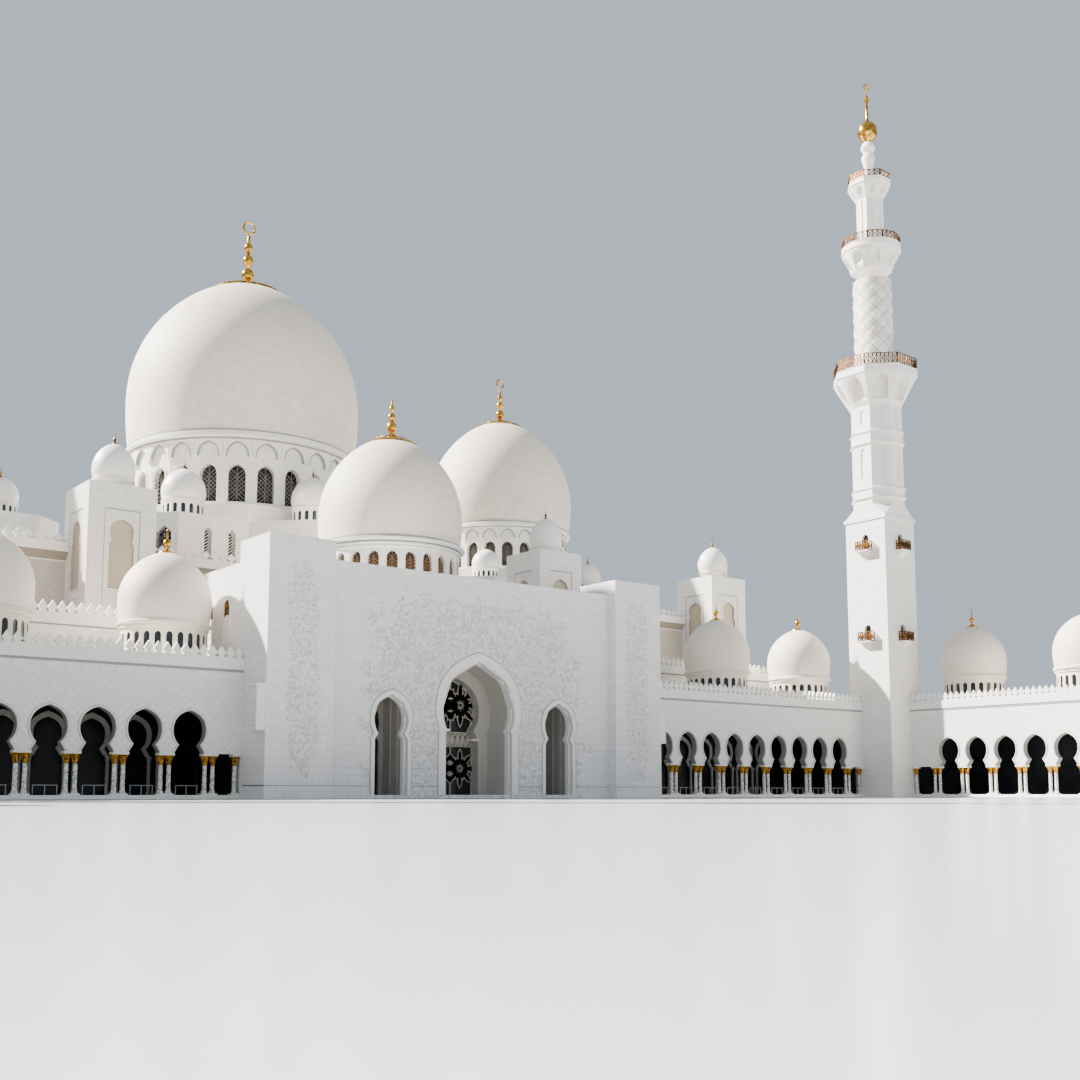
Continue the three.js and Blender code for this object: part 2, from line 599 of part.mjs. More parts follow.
/** Columns under one capital: a pair of them, or a single one where the spread is zero. */
function columns(x, y, spread) {
  const { radius } = column;
  const reach = spread / 2 + radius + column.overhang;
  const [front, back] = [y - column.depth, y + column.depth];
  const capital = block(x - reach, x + reach, front, back, column.capital, arcade.soffit);
  const shafts = (spread > 0 ? [-1, 1] : [0]).map((side) => {
    const shaft = cylinder(radius, FLOOR - 0.1, arcade.soffit - 0.3, 6);
    return shaft.translate([x + (side * spread) / 2, y, 0]);
  });
  return join(capital, ...shafts);
}

/** A plinth with a row of paired columns along its front and a single one at each end. */
function colonnade(half, pairs, y0, y1, rowY) {
  const plinth = block(-half, half, y0, y1, 0, FLOOR);
  const end = half - column.radius - column.overhang;
  const row = pairs.map((x) => columns(x, rowY, column.apart));
  return join(plinth, columns(-end, rowY, 0), ...row, columns(end, rowY, 0));
}

function arcadeRoof(half, y0, y1, domeXs, domeY) {
  const low = arcade.roof - arcade.slab;
  const slab = block(-half, half, y0, y1, low + GAP, arcade.top);
  const edge = arcade.parapet;
  const well = block(-half + edge, half - edge, y0 + edge, y1 - edge, arcade.roof, arcade.top + 1);
  const dome = arcadeDome;
  const domes = domeXs.map((x) => domedDrum(dome, dome.windows, 1, 3).translate([x, domeY, 0]));
  const opening = cylinder(dome.drum - dome.shell, low - 1, arcade.roof + 0.2, dome.innerAround);
  const turnedOpening = opening.rotate([0, 0, 180 / dome.innerAround]);
  const openings = domeXs.map((x) => turnedOpening.translate([x, domeY, 0]));
  return join(cut(slab, well, ...openings), ...domes);
}

function arcadeFinial() {
  const foot = seatLevel(arcadeDome) + GAP;
  const bulbs = [[foot + 1.2, 0.36]];
  return finial({ cap: arcadeDome.seat, foot, neck: 0.1, bulbs, tip: foot + 3.1 }, 6);
}

function buildArcades() {
  const a = arcade;
  const arches = bays(a.bays).map((x) => [x, bayArch]);
  const wallTop = a.roof - a.slab;
  for (const [side, sign] of [['left', -1], ['right', 1]]) {
    const x = sign * a.middle;
    const rowY = a.front + a.wall / 2;
    const wall = archedWall(-a.half, a.half, a.soffit + GAP, wallTop, a.front, a.wall, arches);
    const row = colonnade(a.half, bays(a.bays + 1), a.front - column.step, a.back, rowY);
    piece(`arcade_wall_${side}`, wall, marble, x);
    piece(`arcade_columns_${side}`, row, marble, x);
    const domeXs = [-4, 0, 4].map((n) => n * a.bay);
    piece(`arcade_roof_${side}`, arcadeRoof(a.half, a.front, a.back, domeXs, a.domeY), marble, x);
    domeXs.forEach((dx, i) => {
      piece(`arcade_finial_${side}_${i + 1}`, arcadeFinial(), gold, x + dx, a.domeY);
    });
  }
}

/** A plain pier that stands on the plinth and carries the outer wall of a court arcade. */
function outerPier(x, y) {
  const { pier, pierDepth } = column;
  return block(x - pier, x + pier, y - pierDepth, y + pierDepth, FLOOR + GAP, arcade.soffit + 0.1);
}

function buildCourtArcades() {
  const c = courtArcade;
  const a = arcade;
  const wallTop = a.roof - a.slab;
  const arches = bays(c.bays).map((x) => [x, bayArch]);
  const domeXs = [-2, 2].map((n) => n * a.bay);
  const domeY = a.domeY - a.front;
  const low = a.soffit + GAP;
  for (const [side, sign] of [['left', -1], ['right', 1]]) {
    const turn = (-sign * Math.PI) / 2;
    const place = [sign * c.face, c.middle, turn];
    const courtWall = archedWall(-c.half, c.half, low, wallTop, 0, a.wall, arches);
    const outerFace = c.depth - a.wall;
    const outerArches = archedWall(-c.half, c.half, a.soffit, wallTop, outerFace, a.wall, arches, 1);
    const piers = bays(c.bays - 1).map((x) => outerPier(x, outerFace + a.wall / 2));
    const [front, back] = [-column.step, c.depth + column.step];
    const row = colonnade(c.half, bays(c.bays - 1), front, back, a.wall / 2);
    piece(`court_arcade_wall_${side}`, courtWall, marble, ...place);
    piece(`court_arcade_outer_wall_${side}`, join(outerArches, ...piers), marble, ...place);
    piece(`court_arcade_columns_${side}`, row, marble, ...place);
    piece(`court_arcade_roof_${side}`, arcadeRoof(c.half, 0, c.depth, domeXs, domeY), marble, ...place);
    domeXs.forEach((dx, i) => {
      const x = sign * (c.face + domeY);
      piece(`court_finial_${side}_${i + 1}`, arcadeFinial(), gold, x, c.middle - dx);
    });
  }
}

/** The solid between two convex outlines at two levels. */
function loft(low, z0, high, z1) {
  const corners = [...low.map(([x, y]) => [x, y, z0]), ...high.map(([x, y]) => [x, y, z1])];
  return solid(new ConvexGeometry(corners.map((corner) => new THREE.Vector3(...corner))));
}

/** A balcony on the front face of the minaret's square shaft. */
function balconyAt(level) {
  const { half, reach, slab, rail, edge } = balcony;
  const face = -minaret.half;
  const floor = block(-half, half, face - reach, face + 0.3, level - slab, level + rail);
  const inside = block(-half + edge, half - edge, face - reach + edge, face, level, level + rail + 1);
  return cut(floor, inside);
}

function buildMinaret(side, sign) {
  const m = minaret;
  const eighth = Math.PI / 8;
  const octagonRadius = m.octagon / Math.cos(eighth);
  const square = block(-m.half, m.half, -m.half, m.half, 0, m.squareTop);
  const corners = [[-m.half, -m.half], [m.half, -m.half], [m.half, m.half], [-m.half, m.half]];
  const shoulder = loft(corners, m.squareTop - 0.01, octagon(m.octagon), m.octagonFrom);
  const belt = ([low, high]) => [
    [octagonRadius, low], [octagonRadius + belts.reach, low + belts.reach],
    [octagonRadius + belts.reach, high - belts.reach], [octagonRadius, high],
  ];
  const lower = turned([
    [0, m.octagonFrom - 0.5], [octagonRadius, m.octagonFrom - 0.5],
    ...belt(belts.lower), ...belt(belts.upper),
    [octagonRadius, m.neck], [m.gallery1Radius, undersides[0]], [m.gallery1Radius, m.gallery1],
    [0, m.gallery1],
  ], 8, eighth);
  const middle = turned([
    [0, m.gallery1 - 0.5], [m.cylinder, m.gallery1 - 0.5], [m.cylinder, brackets[0]],
    [m.gallery2Radius, undersides[1]], [m.gallery2Radius, m.gallery2], [0, m.gallery2],
  ], 12);
  const upper = turned([
    [0, m.gallery2 - 0.5], [m.upper, m.gallery2 - 0.5], [m.upper, brackets[1]],
    [m.gallery3Radius, undersides[2]], [m.gallery3Radius, m.gallery3], [0.62, m.gallery3],
    [1.0, 95.1], [0.62, 96.0], [1.12, 96.8], [0.6, m.bulbTop], [0, m.bulbTop],
  ], 8, eighth);
  const bores = join(
    block(-m.bore, m.bore, -m.bore, m.bore, FLOOR, m.squareTop),
    cylinder(m.bore, m.squareTop - 1, undersides[0] - 0.6, 8),
    cylinder(m.boreMiddle, undersides[0] - 1.6, undersides[1] - 0.3, 8),
    cylinder(m.boreUpper, undersides[1] - 1.3, undersides[2] - 0.3, 8),
    block(-serviceDoor.half, serviceDoor.half, m.bore - 1, m.half + 1, FLOOR, serviceDoor.top),
    block(-0.5, 0.5, -m.cylinder - 0.5, 0, m.gallery1 + 0.1, m.gallery1 + 2.4),
    block(-0.45, 0.45, -m.upper - 0.5, 0, m.gallery2 + 0.1, m.gallery2 + 2.3),
  );
  let body = join(square, shoulder, lower, middle, upper);
  const doors = [];
  for (const level of balcony.levels) {
    for (const turn of [0, 90, 180, 270]) body = body.add(balconyAt(level).rotate([0, 0, turn]));
    for (const turn of [0, 90]) {
      const doorTop = level + balcony.doorHeight;
      const door = windowTool(0, balcony.door, level, doorTop, -m.half - 0.5, m.half + 0.5);
      doors.push(door.rotate([0, 0, turn]));
    }
  }
  piece(`minaret_${side}`, cut(body, bores, ...doors), marble, sign * m.x, m.y);
  const c = crown;
  const ball = turned([
    [0, m.bulbTop + GAP], [0.55, m.bulbTop + GAP], [0.9 * c.ball, c.ballAt - 0.9], [c.ball, c.ballAt],
    [0.8 * c.ball, c.ballAt + 1.0], [0.3, c.ballAt + 1.6], [0.2, c.bead - 0.6], [0.42, c.bead],
    [0.15, c.bead + 0.6], [0, c.ringAt - c.ring + 0.1],
  ], 8);
  piece(`minaret_crown_${side}`, join(ball, ring(c.ring, 0.12, c.ringAt)), gold, sign * m.x, m.y);
}

buildPortal();
buildPorch();
buildEntranceDome();
buildHallWalls();
buildHallRoof();
buildGreatDomes();
buildGalleries();
buildArcades();
buildCourtArcades();
buildMinaret('left', -1);
buildMinaret('right', 1);

export default model;
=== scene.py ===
"""Dresses the 1:10 model of a white marble mosque.

Sizes are metres of the real building, measured from the ground, the entrance axis and the front
face of the portal. Bench.finish brings each finished piece to the model's own frame and scale.
"""

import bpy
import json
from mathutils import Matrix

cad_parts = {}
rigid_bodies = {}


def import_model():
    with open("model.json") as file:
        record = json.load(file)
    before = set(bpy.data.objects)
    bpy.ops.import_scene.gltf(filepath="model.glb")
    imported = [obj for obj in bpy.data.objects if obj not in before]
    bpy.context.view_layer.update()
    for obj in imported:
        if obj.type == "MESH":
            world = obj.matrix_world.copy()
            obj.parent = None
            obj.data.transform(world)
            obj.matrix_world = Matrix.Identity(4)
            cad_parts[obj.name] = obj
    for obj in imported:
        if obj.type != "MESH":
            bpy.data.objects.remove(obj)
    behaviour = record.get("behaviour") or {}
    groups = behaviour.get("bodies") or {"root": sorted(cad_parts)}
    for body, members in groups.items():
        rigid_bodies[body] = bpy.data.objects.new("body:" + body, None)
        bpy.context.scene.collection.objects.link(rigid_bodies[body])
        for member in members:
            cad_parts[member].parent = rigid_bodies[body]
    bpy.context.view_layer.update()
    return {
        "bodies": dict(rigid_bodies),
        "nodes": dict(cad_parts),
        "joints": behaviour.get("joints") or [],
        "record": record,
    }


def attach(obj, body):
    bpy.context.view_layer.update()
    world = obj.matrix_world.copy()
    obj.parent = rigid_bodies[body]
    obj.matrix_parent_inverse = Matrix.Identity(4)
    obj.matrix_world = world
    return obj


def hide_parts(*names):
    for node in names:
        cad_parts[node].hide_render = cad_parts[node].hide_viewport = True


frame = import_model()

import json
import logging
import math
from dataclasses import dataclass
from enum import Enum
from functools import lru_cache
from typing import ClassVar, Iterable, Sequence

import bpy
from mathutils import Matrix, Vector

log = logging.getLogger("mosque")

SCALE = 0.1
FOOTPRINT_MIDDLE = 30.1415
BODY = "root"
MIRROR = Matrix.Scale(-1, 4, (1, 0, 0))
MERGE = 1e-4
SHARP_EDGE = math.radians(32)
ARRIS_ANGLE = math.radians(40)
FULL_TURN = 2 * math.pi
QUARTER = math.pi / 2
HALF_SIDE = math.pi / 8
TAPER = 1.2
RISE = 0.96
UP = Vector((0, 0, 1))
WHITE = (1, 1, 1, 1)

Part = bpy.types.Object
Parts = list[Part]
Tree = bpy.types.NodeTree
Socket = bpy.types.NodeSocket
Spot = tuple[float, float, float]
Outline = list[tuple[float, float]]


class Slot(Enum):
    """The record's material slots."""

    MARBLE = "marble"
    GLASS = "dark_glass"
    GOLD = "gold"


def linear(colour: str) -> tuple[float, ...]:
    """Turns an sRGB hex colour to linear red, green, blue and alpha."""
    parts = [int(colour[i:i + 2], 16) / 255 for i in (0, 2, 4)]
    return *(c / 12.92 if c <= 0.04045 else ((c + 0.055) / 1.055) ** 2.4 for c in parts), 1.0


def real(size_mm: float) -> float:
    """Turns a size in millimetres of the real building to metres of the model."""
    return size_mm / 1000 * SCALE


def model_spot(x: float, y: float, z: float) -> Spot:
    """Turns a place of the real building into the model's frame."""
    return x * SCALE, (y - FOOTPRINT_MIDDLE) * SCALE, z * SCALE


def placed(x: float, y: float, turn: float = 0, z: float = 0) -> Matrix:
    """Where a copy goes: the place of its upright axis and its turn about it."""
    return Matrix.Translation((x, y, z)) @ Matrix.Rotation(turn, 4, "Z")


def add(tree: Tree, kind: str, links: dict | None = None, **settings) -> bpy.types.Node:
    """Adds a node with its settings and links.

    Args:
        tree: The material's node tree.
        kind: The node's type, without its ShaderNode prefix.
        links: Each input's name or place, with an output socket to join or a value to set.
        settings: The node's own options.

    Returns:
        The new node.
    """
    node = tree.nodes.new("ShaderNode" + kind)
    for name, value in settings.items():
        setattr(node, name, value)
    for name, value in (links or {}).items():
        if isinstance(value, bpy.types.NodeSocket):
            tree.links.new(value, node.inputs[name])
        else:
            node.inputs[name].default_value = value
    return node


def number(tree: Tree, operation: str, *terms: Socket | float) -> Socket:
    """Works out a number."""
    return add(tree, "Math", dict(enumerate(terms)), operation=operation).outputs[0]


def vector(tree: Tree, operation: str, *terms: Socket | Spot, output: int | str = 0) -> Socket:
    """Works out a vector, or its length."""
    return add(tree, "VectorMath", dict(enumerate(terms)), operation=operation).outputs[output]


def mix(tree: Tree, part: Socket | float, below: Socket | tuple, above: Socket | tuple,
        blend: str = "MIX") -> Socket:
    """Mixes two colours."""
    return add(tree, "Mix", {0: part, 6: below, 7: above}, data_type="RGBA", blend_type=blend).outputs[2]


def remap(tree: Tree, value: Socket, low: float, high: float, start: float = 0.0, end: float = 1.0) -> Socket:
    """Brings the values between low and high to those between start and end."""
    links = {"Value": value, "From Min": low, "From Max": high, "To Min": start, "To Max": end}
    return add(tree, "MapRange", links).outputs[0]


def noise(tree: Tree, where: Socket, size_mm: float, output: str = "Fac", **inputs: float) -> Socket:
    """Draws soft noise with spots of a real size."""
    return add(tree, "TexNoise", {"Vector": where, "Scale": 1 / real(size_mm), **inputs}).outputs[output]


def relief(tree: Tree, height: Socket, strength: float, depth_mm: float, links: dict | None = None,
           **settings) -> Socket:
    """Bends the surface by a height, up to a real depth."""
    sizes = {"Height": height, "Strength": strength, "Distance": real(depth_mm), **(links or {})}
    return add(tree, "Bump", sizes, **settings).outputs["Normal"]


@dataclass(frozen=True)
class Finish:
    """A finish that covers a piece."""

    name: str
    slot: ClassVar[Slot] = Slot.MARBLE

    def dress(self, tree: Tree, where: Socket) -> dict:
        """Builds the finish in the Object coordinates, and gives the surface shader's values and sockets."""
        raise NotImplementedError

    @lru_cache(maxsize=None)
    def material(self) -> bpy.types.Material:
        """Makes the finish's material once."""
        made = bpy.data.materials.new(self.name)
        made.use_nodes = True
        tree = made.node_tree
        tree.nodes.clear()
        where = add(tree, "TexCoord").outputs["Object"]
        shader = add(tree, "BsdfPrincipled", self.dress(tree, where))
        add(tree, "OutputMaterial", {"Surface": shader.outputs["BSDF"]})
        return made


@dataclass(frozen=True)
class Marble(Finish):
    """White marble, honed: a soft even white with hardly visible clouds and veins, and a low, wide gloss."""

    light: str = "F7F4EE"
    shade: str = "EBE8E3"
    roughness: float = 0.42

    def clouds(self, tree: Tree, where: Socket) -> Socket:
        """Colours the stone with clouds about three metres across and fine veins.

        Args:
            tree: The material's node tree.
            where: The Object coordinates.

        Returns:
            The colour socket.
        """
        cloud = noise(tree, where, 3000, Detail=6.0, Roughness=0.6)
        tone = mix(tree, cloud, linear(self.shade), linear(self.light))
        vein = noise(tree, where, 700, Detail=8.0, Distortion=1.6)
        faint = number(tree, "MULTIPLY", number(tree, "COMPARE", vein, 0.5, 0.02), 0.07)
        return mix(tree, faint, tone, linear("8E8F92"))

    def laid(self, tree: Tree, where: Socket, place: Socket, sizes: dict,
             offset: float = 0.5) -> tuple[Socket, Socket]:
        """Lays the stone as slabs or tiles.

        Args:
            tree: The material's node tree.
            where: The Object coordinates.
            place: The place along the rows and across them.
            sizes: The second tone, the joint's tone and the sizes of the pattern.
            offset: How far each row is shifted, in parts of a slab.

        Returns:
            The colour, and the height of the slabs over their joints.
        """
        slabs = add(tree, "TexBrick", {"Vector": place, "Color1": WHITE, "Scale": 1.0, **sizes},
                    offset=offset)
        colour = mix(tree, 1.0, self.clouds(tree, where), slabs.outputs["Color"], "MULTIPLY")
        return colour, number(tree, "SUBTRACT", 1.0, slabs.outputs["Fac"])

    def dress(self, tree: Tree, where: Socket) -> dict:
        """Gives the stone its colour, a broken gloss and a faint tooth."""
        tooth = relief(tree, noise(tree, where, 120, Detail=4.0), 0.05, 20)
        return {"Base Color": self.clouds(tree, where), "Normal": tooth, "Roughness": self.roughness}


@dataclass(frozen=True)
class CladMarble(Marble):
    """Marble slabs hung on the walls: courses of slabs, each a little lighter or greyer, with fine joints.

    The joints are 40 mm wide, coarser than real ones, so that they show.
    """

    slab_mm: tuple[float, float] = (1500, 750)
    joint_mm: float = 40
    turned: float = 0.0
    stagger: float = 0.5
    other: str = "F6F6F7"
    joint: str = "DCDCDD"
    carved: bool = False

    @staticmethod
    def facing(tree: Tree) -> Sequence[Socket]:
        """The three parts of the way that a face looks."""
        return add(tree, "SeparateXYZ", {0: add(tree, "NewGeometry").outputs["True Normal"]}).outputs

    def wall_place(self, tree: Tree, where: Socket) -> Socket:
        """Lays the pattern flat on each wall, from the way that the wall faces.

        Args:
            tree: The material's node tree.
            where: The Object coordinates.

        Returns:
            A vector with the place along the wall and up it.
        """
        x, y, z = add(tree, "SeparateXYZ", {0: where}).outputs
        east, north, up = (number(tree, "ABSOLUTE", part) for part in self.facing(tree))
        side = number(tree, "GREATER_THAN", east, north)
        flat = number(tree, "GREATER_THAN", up, 0.7)
        along = add(tree, "Mix", {0: side, 2: x, 3: y}).outputs[0]
        height = add(tree, "Mix", {0: flat, 2: z, 3: y}).outputs[0]
        return add(tree, "CombineXYZ", {0: along, 1: height}).outputs[0]

    def carving(self, tree: Tree, where: Socket) -> Socket:
        """Draws shallow carved foliage over the arches of the front and up the middle of each pylon.

        Args:
            tree: The material's node tree.
            where: The Object coordinates.

        Returns:
            The depth of the carving, 0 on the flat wall.
        """
        bent = noise(tree, where, 900, "Color", Detail=2.0)
        curled = vector(tree, "ADD", where, vector(tree, "MULTIPLY", bent, (0.12, 0.0, 0.12)))
        leaf = add(tree, "TexVoronoi", {"Vector": curled, "Scale": 1 / real(300)}, feature="DISTANCE_TO_EDGE")
        result = remap(tree, leaf.outputs["Distance"], 0.05, 0.13, 1.0, 0.0)
        gaps = remap(tree, noise(tree, where, 420, Detail=1.0), 0.42, 0.52)
        spread = vector(tree, "ABSOLUTE", where)
        reaches = []
        for middle, half in (((0, 0, 0.9), (1.4, 9.0, 1.22)), ((2.15, 0, 1.24), (0.17, 9.0, 1.02))):
            shape = add(tree, "Mapping", {"Vector": spread, "Location": middle, "Scale": half},
                        vector_type="TEXTURE")
            square = vector(tree, "MULTIPLY", shape.outputs[0], shape.outputs[0])
            reaches.append(vector(tree, "LENGTH", square, output="Value"))
        reach = number(tree, "MINIMUM", *reaches)
        edged = number(tree, "MULTIPLY_ADD", noise(tree, where, 1500, Detail=3.0), 1.4, reach)
        inside = number(tree, "LESS_THAN", edged, 1.65)
        front = number(tree, "LESS_THAN", add(tree, "SeparateXYZ", {0: where}).outputs[1], -2.8)
        ahead = number(tree, "LESS_THAN", self.facing(tree)[1], -0.9)
        for mask in (gaps, inside, front, ahead):
            result = number(tree, "MULTIPLY", result, mask)
        return result

    def dress(self, tree: Tree, where: Socket) -> dict:
        """Draws slabs, joints and, on the portal, the carving, with its hollows greyed as painted shade.

        Args:
            tree: The material's nodes.
            where: The place on the piece.

        Returns:
            The shader's values.
        """
        turn = {"Vector": self.wall_place(tree, where), "Rotation": (0, 0, self.turned)}
        colour, height = self.laid(tree, where, add(tree, "Mapping", turn).outputs[0], {
            "Color2": linear(self.other), "Mortar": linear(self.joint),
            "Mortar Size": real(self.joint_mm) / 2, "Mortar Smooth": 0.2, "Bias": -0.3,
            "Brick Width": real(self.slab_mm[0]), "Row Height": real(self.slab_mm[1]),
        }, self.stagger)
        normal = relief(tree, height, 0.25, 40)
        if self.carved:
            depth = self.carving(tree, where)
            # Mixes the carving's hollows towards grey C2BFBB: painted shade in the carving.
            colour = mix(tree, depth, colour, linear("C2BFBB"))
            normal = relief(tree, depth, 0.5, 100, {"Normal": normal}, invert=True)
        return {"Base Color": colour, "Normal": normal, "Roughness": self.roughness}


@dataclass(frozen=True)
class DomeMarble(Marble):
    """Small marble tiles laid in rings over a dome, drawn about twice their real size so that they show."""

    light: str = "F3ECE2"
    shade: str = "E8DFD2"
    roughness: float = 0.6
    centre: Spot = (0.0, 0.0, 0.0)
    radius: float = 1.0
    tile_mm: tuple[float, float] = (700, 300)

    def dress(self, tree: Tree, where: Socket) -> dict:
        """Draws the rings of tiles about the dome's own axis.

        Args:
            tree: The material's nodes.
            where: The place on the piece.

        Returns:
            The shader's values.
        """
        middle = tuple(-value for value in self.centre)
        shifted = add(tree, "Mapping", {"Vector": where, "Location": middle}).outputs[0]
        x, y, z = add(tree, "SeparateXYZ", {0: shifted}).outputs
        out = vector(tree, "LENGTH", add(tree, "CombineXYZ", {0: x, 1: y}).outputs[0], output="Value")
        along, rise = (number(tree, "MULTIPLY", number(tree, "ARCTAN2", a, b), self.radius)
                       for a, b in ((y, x), (z, out)))
        colour, height = self.laid(tree, where, add(tree, "CombineXYZ", {0: along, 1: rise}).outputs[0], {
            "Color2": linear("F1EEE9"), "Mortar": linear("E2DDD5"), "Mortar Size": real(20),
            "Mortar Smooth": 0.4, "Brick Width": real(self.tile_mm[0]), "Row Height": real(self.tile_mm[1]),
        })
        return {"Base Color": colour, "Normal": relief(tree, height, 0.2, 20), "Roughness": self.roughness}


@dataclass(frozen=True)
class GoldLeaf(Finish):
    """Gold leaf on turned metal: a warm mirror, slightly uneven from the laying of the leaf."""

    slot: ClassVar[Slot] = Slot.GOLD
    colour: str = "E6B54A"
    dark: str = "8A5A16"
    roughness: float = 0.24
    lap_mm: float = 500

    def dress(self, tree: Tree, where: Socket) -> dict:
        """Mixes the leaf's tones and roughens its laps."""
        laps = noise(tree, where, self.lap_mm, Detail=3.0)
        tone = mix(tree, remap(tree, laps, 0.36, 0.6), linear(self.dark), linear(self.colour))
        return {"Base Color": tone, "Normal": relief(tree, laps, 0.08, 30), "Metallic": 1.0,
                "Roughness": self.roughness}


@dataclass(frozen=True)
class DarkGlass(Finish):
    """Deep tinted glazing, nearly black from outside, with a sharp reflection and a little waviness."""

    slot: ClassVar[Slot] = Slot.GLASS
    colour: str = "14171A"
    gloss: float = 0.5

    def dress(self, tree: Tree, where: Socket) -> dict:
        """Tints the panes unevenly and bends their reflections."""
        wave = noise(tree, where, 1500, Detail=2.0)
        tone = mix(tree, wave, linear(self.colour), linear("23282C"))
        return {"Base Color": tone, "Normal": relief(tree, wave, 0.05, 50), "Roughness": 0.12, "IOR": 1.52,
                "Specular IOR Level": self.gloss}


@dataclass(frozen=True)
class InlaidMarble(Marble):
    """White marble shafts inlaid with dark vines: fine curling lines of slate and green on polished stone."""

    inlay: str = "4A5148"

    def dress(self, tree: Tree, where: Socket) -> dict:
        """Draws the vines as winding lines of inlay.

        Args:
            tree: The material's nodes.
            where: The place on the piece.

        Returns:
            The shader's values.
        """
        bent = noise(tree, where, 500, "Color", Detail=2.0, Distortion=1.0)
        curled = vector(tree, "ADD", where, vector(tree, "MULTIPLY", bent, (0.05, 0.05, 0.05)))
        cells = add(tree, "TexVoronoi", {"Vector": curled, "Scale": 1 / real(420)},
                    feature="DISTANCE_TO_EDGE")
        line = remap(tree, cells.outputs["Distance"], 0.03, 0.08, 0.75, 0.0)
        return {"Base Color": mix(tree, line, self.clouds(tree, where), linear(self.inlay)), "Roughness": 0.2}


@dataclass(frozen=True)
class ScaleMarble(Marble):
    """Marble scales laid in diamonds round the minarets' cylinders, with dark grey joints drawn 70 mm wide to
    show; the dark grey also paints the shade in the steps between the scales.
    """

    around: int = 8
    height: float = 2.1
    axis: Spot = (73.0, 3.35, 62.67)

    def dress(self, tree: Tree, where: Socket) -> dict:
        """Draws the joints about the minaret's own axis, alike on both sides of the building.

        Args:
            tree: The material's nodes.
            where: The place on the piece.

        Returns:
            The shader's values.
        """
        x, y, z = add(tree, "SeparateXYZ", {0: where}).outputs
        east, north, rise = (number(tree, "SUBTRACT", value, middle) for value, middle in
                             zip((number(tree, "ABSOLUTE", x), y, z), model_spot(*self.axis)))
        scale = self.height * SCALE
        along = number(tree, "MULTIPLY", number(tree, "ARCTAN2", north, east),
                       self.around * scale / FULL_TURN)
        flat = add(tree, "CombineXYZ", {0: along, 1: rise}).outputs[0]
        lying = add(tree, "Mapping", {"Vector": flat, "Rotation": (0, 0, math.pi / 4)}).outputs[0]
        # The dark grey joints (6F6C6A) also paint the shade in the steps between the scales.
        colour, _ = self.laid(tree, where, lying, {
            "Color2": linear("E6E2DC"), "Mortar": linear("6F6C6A"), "Mortar Size": real(35),
            "Mortar Smooth": 0.2, "Brick Width": scale / math.sqrt(2), "Row Height": scale / math.sqrt(2),
        }, 0.0)
        return {"Base Color": colour, "Roughness": self.roughness}


PLAIN = Marble("honed_white_marble")
WARM_WHITE = Marble("warm_white_marble", light="F0E8DB", shade="E3D8C8", roughness=0.6)
SCALES = ScaleMarble("diamond_scale_marble")
# Dark grey for real joints and rails, and for painted shadow: round arch rims, along sunk panel edges, under
# bands and at dome lips.
DARK_GREY_AND_PAINTED_SHADOW = Marble("dark_grey_marble_and_painted_shadow", light="9A9C9E", shade="8C8E90")
WALL = CladMarble("marble_wall_slabs")
DIAMOND_WALL = CladMarble("marble_diamond_slabs", slab_mm=(560, 560), turned=math.pi / 4, stagger=0.0,
                          joint="E0E0E1")
HALL_WALL = CladMarble("warm_marble_diamond_slabs", light="C9C0B2", shade="BAB1A3", slab_mm=(700, 700),
                       turned=math.pi / 4, stagger=0.0, joint="E0E0E0")
CARVED_WALL = CladMarble("carved_marble_slabs", light="F0EFEE", shade="E6E6E6", carved=True)
WARM_STONE = Marble("warm_beige_marble", light="CBBCA4", shade="B8A991")
# Brown grey painted as the shadow under the hall's eaves.
SOFFIT_PAINTED_SHADE = Marble("painted_shade_brown_grey", light="A19585", shade="908474")
LATTICE = Marble("pale_marble_lattice", light="EDE7DA", shade="DAD3C4")
# Dark grey painted as the shade on window lattices deep in their reveals.
PAINTED_SHADE_LATTICE = Marble("painted_shade_window_lattice", light="7C756A", shade="665F56")
BROWN_LATTICE = Marble("brown_marble_lattice", light="8F6A38", shade="5E4326")
# Grey beige painted as the shade on the porch's screen.
SCREEN_LATTICE = Marble("painted_shade_screen_lattice", light="BDB6A8", shade="A59E91")
# Grey beige painted as the shade in the porch, the side passages and the second row of arches.
PAINTED_SHADE_RECESS = Marble("painted_shade_grey_beige", light="C4C0B8", shade="B4B0A8")
# Mid grey painted as the shade inside the arcades' arch reveals.
PAINTED_SHADE_REVEAL = Marble("painted_shade_mid_grey", light="9C9A96", shade="8A8884")
GOLD = GoldLeaf("gold_leaf")
CAPITAL_GOLD = GoldLeaf("gilded_palm_bronze", colour="E0AC40", dark="4A220C", roughness=0.34, lap_mm=190)
BRONZE = GoldLeaf("gilt_bronze_grille", colour="9A7430", dark="3A2A18", roughness=0.4)
RAIL_BRONZE = GoldLeaf("gilt_red_bronze_rails", colour="8F6430", dark="2E1610", roughness=0.38)
GLASS = DarkGlass("dark_tinted_glazing")
# Near-black and dull: dark glazing, and sheets painted as the shade inside the arcades.
GLAZING_AND_PAINTED_SHADE = DarkGlass("dark_glazing_and_painted_shade", colour="0E1012", gloss=0.12)
SHAFT = InlaidMarble("inlaid_marble_shafts")


